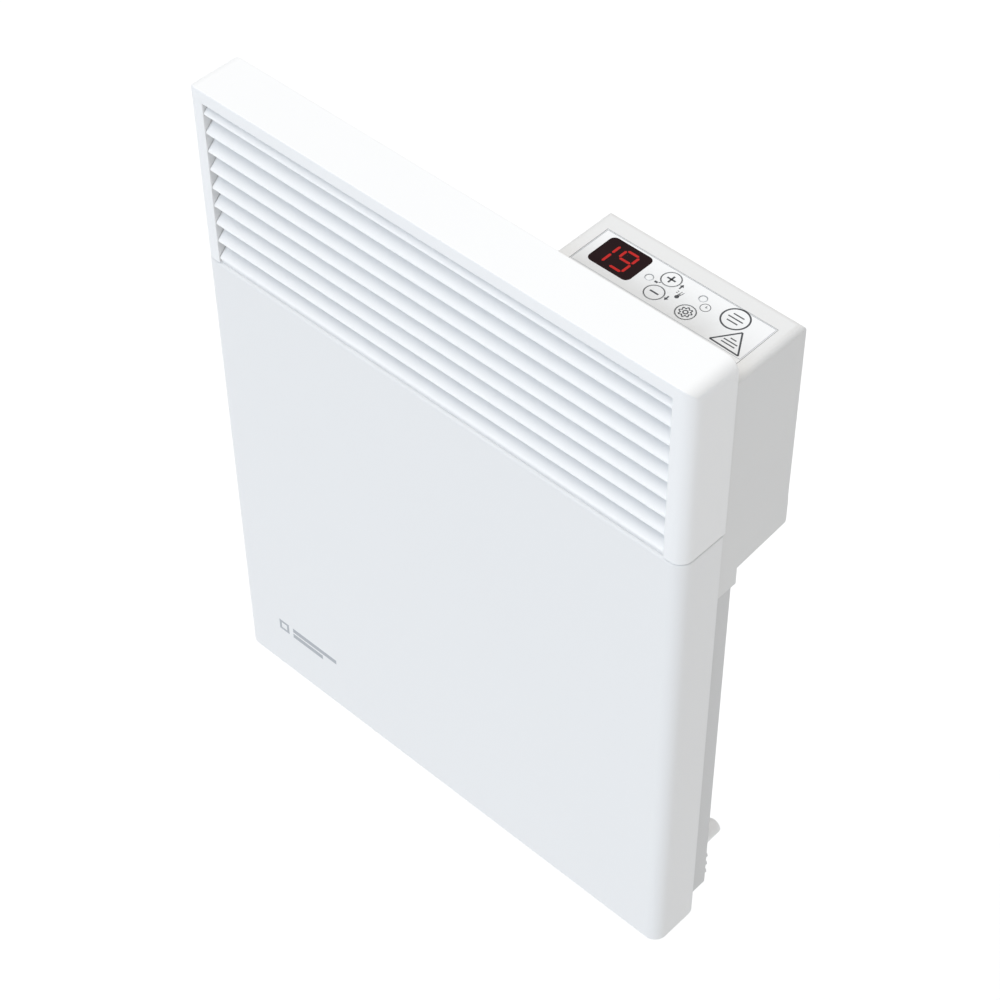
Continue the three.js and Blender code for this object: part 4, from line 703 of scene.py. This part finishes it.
def outlet_grille():
    """Nine sloping blades with rounded noses, tied by ribs at their rear."""
    low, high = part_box("outlet_grille")
    pitch = (high.z - low.z - BLADE_RISE) / (BLADE_COUNT - 1)
    bm = bmesh.new()
    for i in range(BLADE_COUNT):
        nose = low.z + i * pitch
        corners = (
            (low.y, nose),
            (high.y, nose + BLADE_RISE - BLADE_THICKNESS),
            (high.y, nose + BLADE_RISE),
            (low.y, nose + BLADE_THICKNESS),
        )
        section = bm.faces.new([bm.verts.new((low.x, y, z)) for y, z in corners])
        pushed = bmesh.ops.extrude_face_region(bm, geom=[section])["geom"]
        moved = [item for item in pushed if isinstance(item, bmesh.types.BMVert)]
        bmesh.ops.translate(bm, vec=(high.x - low.x, 0, 0), verts=moved)
        blade = {edge for vert in (*section.verts, *moved) for edge in vert.link_edges}
        front = [edge for edge in blade if all(at(vert.co.y, low.y) for vert in edge.verts)]
        noses = [edge for edge in front if along_x(edge)]
        round_edges(bm, noses, BLADE_NOSE, 4)
    outer = high.x - BLADE_RIB.x
    for i in range(BLADE_RIBS):
        middle = -outer + 2 * outer * i / (BLADE_RIBS - 1)
        add_block(
            bm,
            (middle - BLADE_RIB.x / 2, high.y - BLADE_RIB.y, low.z + BLADE_RISE - 2 * BLADE_THICKNESS),
            (middle + BLADE_RIB.x / 2, high.y, high.z - BLADE_THICKNESS),
        )
    bmesh.ops.recalc_face_normals(bm, faces=bm.faces)
    return even_shading(piece("outlet_blades", bm, ["outlet_grille"], material=GRILLE_PAINTED_LIGHT))


# ---------------------------------------------------------------- the label's printing

LABEL_LOW, LABEL_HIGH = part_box("control_label")
LABEL_PRINT_LEVEL = LABEL_HIGH.z - 0.2 * PRINT_THICKNESS


def raised_print(name, outlines, top, body="root", material=INK, slot="label"):
    """Printed shapes on a level face: each outline is a closed list of points."""
    bm = bmesh.new()
    for outline in outlines:
        face = bm.faces.new([bm.verts.new((x, y, top)) for x, y in outline])
        pushed = bmesh.ops.extrude_face_region(bm, geom=[face])["geom"]
        moved = [item for item in pushed if isinstance(item, bmesh.types.BMVert)]
        bmesh.ops.translate(bm, vec=(0, 0, PRINT_THICKNESS), verts=moved)
    bmesh.ops.recalc_face_normals(bm, faces=bm.faces)
    return piece(name, bm, body=body, slot=slot, material=material)


def strip(start, end, width=PRINT_LINE):
    """A straight printed line between two points."""
    start, end = Vector(start), Vector(end)
    along = (end - start).normalized()
    side = Vector((-along.y, along.x)) * width / 2
    return [start + side, start - side, end - side, end + side]


def ring(middle, radius, width=PRINT_LINE, steps=40, wave=0.0, lobes=0):
    """A printed circle as short strips round its line, or with lobes a toothed outline."""

    def point(i, grow):
        angle = 2 * math.pi * i / steps
        reach = radius + wave * math.tanh(3 * math.sin(lobes * angle)) + grow
        return Vector((middle[0] + reach * math.cos(angle), middle[1] + reach * math.sin(angle)))

    half = width / 2
    return [
        [point(i, half), point(i, -half), point(i + 1, -half), point(i + 1, half)] for i in range(steps)
    ]


def disc(middle, radius, steps=20):
    turn = 2 * math.pi / steps
    angles = [i * turn for i in range(steps)]
    return [(middle[0] + radius * math.cos(a), middle[1] + radius * math.sin(a)) for a in angles]


def arrow(middle, size, up):
    """A small solid arrowhead on a stem, pointing up or down the label."""
    sign = 1 if up else -1
    x, y = middle
    head = [(x, y + sign * size), (x - sign * 0.7 * size, y), (x + sign * 0.7 * size, y)]
    return [head, strip((x, y), (x, y - sign * size), 0.45 * size)]


def segment(start, end, width):
    """One bar of a digit, with pointed ends."""
    start, end = Vector(start), Vector(end)
    along = (end - start).normalized()
    side = Vector((-along.y, along.x)) * width / 2
    inner_start = start + along * width / 2
    inner_end = end - along * width / 2
    return [start, inner_start - side, inner_end - side, end, inner_end + side, inner_start + side]


def on_label(across, back):
    """A point from the label's left and rear edges, in metres."""
    return Vector((LABEL_LOW.x + across * MM, LABEL_HIGH.y - back * MM))


def digits():
    """The display reads 19: seven-bar figures behind the lens."""
    low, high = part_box("display_window")
    top = high.z
    lens = Vector((low.x + LENS_FLANGE, high.y - LENS_FLANGE))

    def point(across, back):
        return Vector((lens.x + across * MM, lens.y - back * MM))

    bar = 1.45 * MM
    levels = (3.2, 9.7, 17.0)
    one = 6.9
    left, right = 11.3, 19.2
    bars = [
        segment(point(one, levels[0]), point(one, levels[1] - 0.4), bar),
        segment(point(one, levels[1] + 0.4), point(one, levels[2]), bar),
        segment(point(left + 0.4, levels[0]), point(right - 0.4, levels[0]), bar),
        segment(point(left, levels[0] + 0.4), point(left, levels[1] - 0.4), bar),
        segment(point(left + 0.4, levels[1]), point(right - 0.4, levels[1]), bar),
        segment(point(right, levels[0] + 0.4), point(right, levels[1] - 0.4), bar),
        segment(point(right, levels[1] + 0.4), point(right, levels[2] - 0.4), bar),
        segment(point(left + 0.4, levels[2]), point(right - 0.4, levels[2]), bar),
    ]
    return raised_print("display_digits", bars, top, material=LIT, slot="dark_window")


def lens_surround():
    """The dark printed frame round the display's opening in the label."""
    low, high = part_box("display_window")
    x = (low.x + LENS_FLANGE, high.x - LENS_FLANGE)
    y = (low.y + LENS_FLANGE, high.y - LENS_FLANGE)
    turns = ((x[1], y[1], 0), (x[0], y[1], 1), (x[0], y[0], 2), (x[1], y[0], 3))

    def path(grow):
        points = []
        for corner_x, corner_y, quarter in turns:
            middle_x = corner_x - LENS_CORNER * (1 if corner_x == x[1] else -1)
            middle_y = corner_y - LENS_CORNER * (1 if corner_y == y[1] else -1)
            for i in range(7):
                angle = math.pi / 2 * (quarter + i / 6)
                reach = LENS_CORNER + grow
                points.append((middle_x + reach * math.cos(angle), middle_y + reach * math.sin(angle)))
        return points

    inner, outer = path(-PRINT_OVERLAP), path(LENS_SURROUND)
    after = [(i + 1) % len(outer) for i in range(len(outer))]
    lengths = [[outer[i], outer[j], inner[j], inner[i]] for i, j in enumerate(after)]
    return raised_print("lens_surround", lengths, LABEL_PRINT_LEVEL, material=FINISHES["dark_window"])


def key(name):
    """A round film key: a slightly crowned cap over its flange and stem."""
    node = name + "_key"
    low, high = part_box(node)
    middle = centre(node)
    base = Vector((middle.x, middle.y, 0))
    flange = (high.x - low.x) / 2
    cap = flange - KEY_FLANGE
    shoulder = high.z - KEY_CAP_HEIGHT
    flange_foot = shoulder - KEY_FLANGE_THICKNESS
    profile = [
        (0, low.z),
        (KEY_STEM, low.z),
        (KEY_STEM, flange_foot),
        (flange, flange_foot),
        (flange, shoulder),
        (cap, shoulder),
        (cap, high.z - KEY_EDGE),
        (cap - 0.3 * KEY_EDGE, high.z - 0.3 * KEY_EDGE),
        (cap - KEY_EDGE, high.z - PRINT_THICKNESS),
        (cap - 4 * KEY_EDGE, high.z - PRINT_THICKNESS / 2),
        (0, high.z - PRINT_THICKNESS / 2),
    ]
    bm = spun(profile, Vector((0, 0, 1)), base)
    return piece(node + "_cap", bm, [node])


def key_prints():
    """The ring and the sign on each key, which move with it."""
    for name in ("plus", "minus", "mode"):
        node = name + "_key"
        middle = centre(node)
        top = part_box(node)[1].z - PRINT_THICKNESS
        spot = Vector((middle.x, middle.y))
        shapes = ring(spot, KEY_RING, 0.3 * MM, 48)
        arm = 2.6 * MM
        if name in ("plus", "minus"):
            shapes.append(strip(spot - Vector((arm, 0)), spot + Vector((arm, 0)), 1.0 * MM))
        if name == "plus":
            shapes.append(strip(spot - Vector((0, arm)), spot + Vector((0, arm)), 1.0 * MM))
        if name == "mode":
            shapes += ring(spot, 2.9 * MM, 0.85 * MM, 96, wave=0.4 * MM, lobes=8)
            shapes += ring(spot, 1.2 * MM, 0.7 * MM, 24)
        raised_print(node + "_sign", shapes, top, body=BODIES[node])


def label_outlines():
    """The label's border, whose front line is partly print and partly painted shade along the hood's rear
    edge, and the rings round its two lights.
    """
    x = (LABEL_LOW.x + BORDER_INSET, LABEL_HIGH.x - BORDER_INSET)
    y = (LABEL_LOW.y + BORDER_FRONT_LINE_SHADE_INSET, LABEL_HIGH.y - BORDER_INSET)
    corners = [(x[0], y[0]), (x[1], y[0]), (x[1], y[1]), (x[0], y[1])]
    border = [strip(a, b, 0.26 * MM) for a, b in zip(corners, corners[1:] + corners[:1])]
    raised_print("label_border", border, LABEL_PRINT_LEVEL, material=PALE_INK)

    rings = []
    for node in ("heat_light", "timer_light"):
        middle = centre(node)
        rings += ring((middle.x, middle.y), 2.25 * MM, 0.22 * MM, 32)
    raised_print("light_rings", rings, LABEL_PRINT_LEVEL, material=PALE_INK)


def label_symbols():
    """The heat sign, the thermometer between its two arrows, and the clock."""
    heat = on_label(42.2, 13.2)
    flame = [strip(heat - Vector((0.9 * MM, 0)), heat + Vector((0.9 * MM, 0)), 1.2 * MM)]
    flame.append(strip(heat + Vector((1.1, 0.5)) * MM, heat + Vector((2.0, 1.2)) * MM, 0.5 * MM))
    bulb = on_label(56.2, 14.6)
    stem_end = bulb + Vector((0.6, 4.4)) * MM
    thermometer = [disc(bulb, 1.15 * MM)]
    for side in (-0.6, 0.6):
        wall = strip(bulb + Vector((side, 0.6)) * MM, stem_end + Vector((side, 0)) * MM, 0.32 * MM)
        thermometer.append(wall)
    thermometer.append(strip(bulb + Vector((0, 0.6)) * MM, bulb + Vector((0.3, 2.4)) * MM, 0.5 * MM))
    thermometer += [
        strip(bulb + Vector((-2.3, h)) * MM, bulb + Vector((-1.4, h)) * MM, 0.4 * MM) for h in (2.4, 3.6)
    ]
    arrows = arrow(on_label(53.5, 7.7), 1.75 * MM, True) + arrow(on_label(53.3, 18.6), 1.75 * MM, False)
    clock = on_label(71.2, 11.3)
    dial = ring(clock, 2.6 * MM, 0.36 * MM, 32)
    dial.append(strip(clock, clock + Vector((0, 1.4)) * MM, 0.34 * MM))
    dial.append(strip(clock, clock + Vector((0.9, 0.5)) * MM, 0.34 * MM))
    raised_print("label_symbols", flame + thermometer + arrows + dial, LABEL_PRINT_LEVEL)


def label_marks():
    """The two plain figures at the label's right end: a ring and a triangle, each round three bars."""
    middle = on_label(86.7, 7.7)
    figure = ring(middle, 7.2 * MM, 0.9 * MM, 64)
    for level, reach in ((2.6, 3.2), (0.0, 4.4), (-2.6, 3.2)):
        left = middle + Vector((-reach, level)) * MM
        figure.append(strip(left, left + Vector((2 * reach, 0)) * MM, 0.75 * MM))
    raised_print("round_mark", figure, LABEL_PRINT_LEVEL)

    feet = (on_label(86.0, 25.9), on_label(103.4, 26.3))
    peak = on_label(95.1, 12.7)
    sides = ((feet[0], feet[1]), (feet[1], peak), (peak, feet[0]))
    triangle = [strip(start, end, 0.9 * MM) for start, end in sides]
    for left, right, back in ((90.9, 98.9, 23.4), (90.9, 98.9, 21.4), (93.2, 96.7, 19.2)):
        triangle.append(strip(on_label(left, back), on_label(right, back), 0.7 * MM))
    raised_print("three_sided_mark", triangle, LABEL_PRINT_LEVEL)


def front_mark():
    """A plain grey mark low on the front panel: a small square outline beside two bars."""
    low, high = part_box("front_panel")
    face = low.y
    spot = Vector((low.x + 31 * MM, low.z + 38 * MM))
    square = 8.4 * MM
    line = 1.9 * MM
    bar = 3.5 * MM
    bars_start = 12 * MM
    bars = [
        (0, 0, square, line),
        (0, square - line, square, square),
        (0, line, line, square - line),
        (square - line, line, square, square - line),
        (bars_start, square - bar, 50 * MM, square),
        (bars_start, 0, 38 * MM, bar),
    ]
    bm = bmesh.new()
    for x0, z0, x1, z1 in bars:
        add_block(
            bm,
            (spot.x + x0, face - PRINT_THICKNESS / 3, spot.y + z0 - square / 2),
            (spot.x + x1, face + PRINT_THICKNESS, spot.y + z1 - square / 2),
        )
    return piece("front_mark", bm, slot="coated_steel", material=PALE_INK)


# ---------------------------------------------------------------- small round pieces


def light(name):
    node = name + "_light"
    low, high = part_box(node)
    middle = centre(node)
    radius = (high.x - low.x) / 2
    profile = [
        (0, low.z),
        (radius, low.z),
        (radius, high.z - LIGHT_EDGE),
        (radius - LIGHT_EDGE, high.z),
        (0, high.z),
    ]
    bm = spun(profile, Vector((0, 0, 1)), Vector((middle.x, middle.y, 0)), 32)
    return piece(node + "_lens", bm, [node])


def gland():
    """The mains gland: flanged sleeve with a rounded nose and a bore for the lead."""
    low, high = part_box("cable_gland")
    middle = centre("cable_gland")
    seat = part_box("back_casing")[1].y - LOUVRE_RISE + FIT_GAP
    collar = (high.x - low.x) / 2
    radius = collar - GLAND_COLLAR.x
    bore = radius - GLAND_WALL
    chamfer = 0.6 * MM
    profile = [
        (bore, low.y),
        (radius, low.y),
        (radius, seat),
        (collar, seat),
        (collar, seat + GLAND_COLLAR.y),
        (collar - chamfer, seat + GLAND_COLLAR.y + chamfer),
        (radius, seat + GLAND_COLLAR.y + chamfer),
    ]
    for angle in (math.pi * i / 12 for i in range(7)):
        along = high.y - GLAND_NOSE + GLAND_NOSE * math.sin(angle)
        profile.append((radius - GLAND_NOSE + GLAND_NOSE * math.cos(angle), along))
    profile += [(bore + 0.4 * MM, high.y), (bore, high.y - 0.5 * MM), (bore, low.y)]
    bm = spun(profile, Vector((0, 1, 0)), Vector((middle.x, 0, middle.z)), 48)
    return piece("gland_sleeve", bm, ["cable_gland"])


# ---------------------------------------------------------------- making the heater

front_panel()
hood()
outlet_grille()
refined("back_casing", 0.35 * MM, material=CASING)
refined("control_housing", 0.4 * MM, least_angle=40, material=HOUSING)
refined("control_label", 0.08 * MM, 1)
refined("display_window", 0.12 * MM)
for key_name in ("plus", "minus", "mode"):
    key(key_name)
for light_name in ("heat", "timer"):
    light(light_name)
gland()
digits()
lens_surround()
key_prints()
label_outlines()
label_symbols()
label_marks()
front_mark()

DONE = {node for made in bpy.data.objects for node in made.get("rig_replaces", [])}
PLAIN_EDGE = 0.2 * MM
EDGE_RADII = {"wall_bracket": 0.4 * MM, "relay": 0.5 * MM, "transformer": 0.8 * MM}
for node in sorted(frame["nodes"]):
    if node not in DONE:
        refined(node, EDGE_RADII.get(node, PLAIN_EDGE))

# ---------------------------------------------------------------- the studio

FLOOR_DROP = 0.9  # bottom of the heater to the floor
FLOOR_SIZE = 30.0
ROOM_LIGHT = 0.27  # what the room's walls give
ROOM_SEEN = 1.0  # how bright they look
CAMERA_PLACE = Vector((0.67098, -0.74357, 0.91081))
CAMERA_AIM = Vector((0.05055, -0.08840, -0.05264))
CAMERA_ROLL = math.radians(-0.506)
LENS_MM = 92.5
SENSOR_MM = 36.0


def floor():
    bm = bmesh.new()
    bmesh.ops.create_grid(bm, x_segments=1, y_segments=1, size=FLOOR_SIZE / 2)
    bmesh.ops.translate(bm, vec=(0, 0, cad_box[0][2] - FLOOR_DROP), verts=bm.verts)
    mesh = bpy.data.meshes.new("studio_floor")
    bm.to_mesh(mesh)
    bm.free()
    made = bpy.data.objects.new("studio_floor", mesh)
    bpy.context.scene.collection.objects.link(made)
    finish = Finish("studio_floor")
    drift = finish.noise(0.6, detail=1)
    colour = finish.colours(drift, (0.92, 0.92, 0.92), (0.935, 0.935, 0.935))
    mesh.materials.append(finish.surface(colour, 0.9))


def broad_light(name, towards, spread, strength, colour):
    """An even light from a patch of the studio, spread degrees across, as softboxes far off would give."""
    data = bpy.data.lights.new(name, "SUN")
    data.angle = math.radians(spread)
    data.energy = strength
    data.color = colour
    made = bpy.data.objects.new(name, data)
    bpy.context.scene.collection.objects.link(made)
    made.rotation_euler = Vector(towards).to_track_quat("-Z", "Y").to_euler()


def studio():
    """A pale room, a broad warm light from above and a cooler one from the front."""
    world = bpy.data.worlds.new("pale_room")
    room = NodeTree(world)
    seen = room.node("LightPath").out("Is Camera Ray")
    strength = room.node("MapRange", None, {"Value": seen, "To Min": ROOM_LIGHT, "To Max": ROOM_SEEN})
    walls = {"Color": (1, 1, 1, 1), "Strength": strength.out()}
    room.node("OutputWorld", None, [room.node("Background", None, walls).out()])
    bpy.context.scene.world = world
    broad_light("overhead", towards=(0.05, 0.12, -1), spread=60, strength=2.42, colour=(1.0, 0.985, 0.96))
    broad_light("front_key", towards=(0.05, 0.86, -0.51), spread=40, strength=0.93, colour=(0.71, 0.84, 1.0))


def camera():
    data = bpy.data.cameras.new("camera")
    data.lens = LENS_MM
    data.sensor_width = SENSOR_MM
    made = bpy.data.objects.new("camera", data)
    bpy.context.scene.collection.objects.link(made)
    aim = (CAMERA_AIM - CAMERA_PLACE).to_track_quat("-Z", "Y").to_matrix().to_4x4()
    made.matrix_world = Matrix.Translation(CAMERA_PLACE) @ aim @ Matrix.Rotation(CAMERA_ROLL, 4, "Z")
    bpy.context.scene.camera = made


floor()
studio()
camera()
bpy.context.scene.view_settings.view_transform = "Standard"
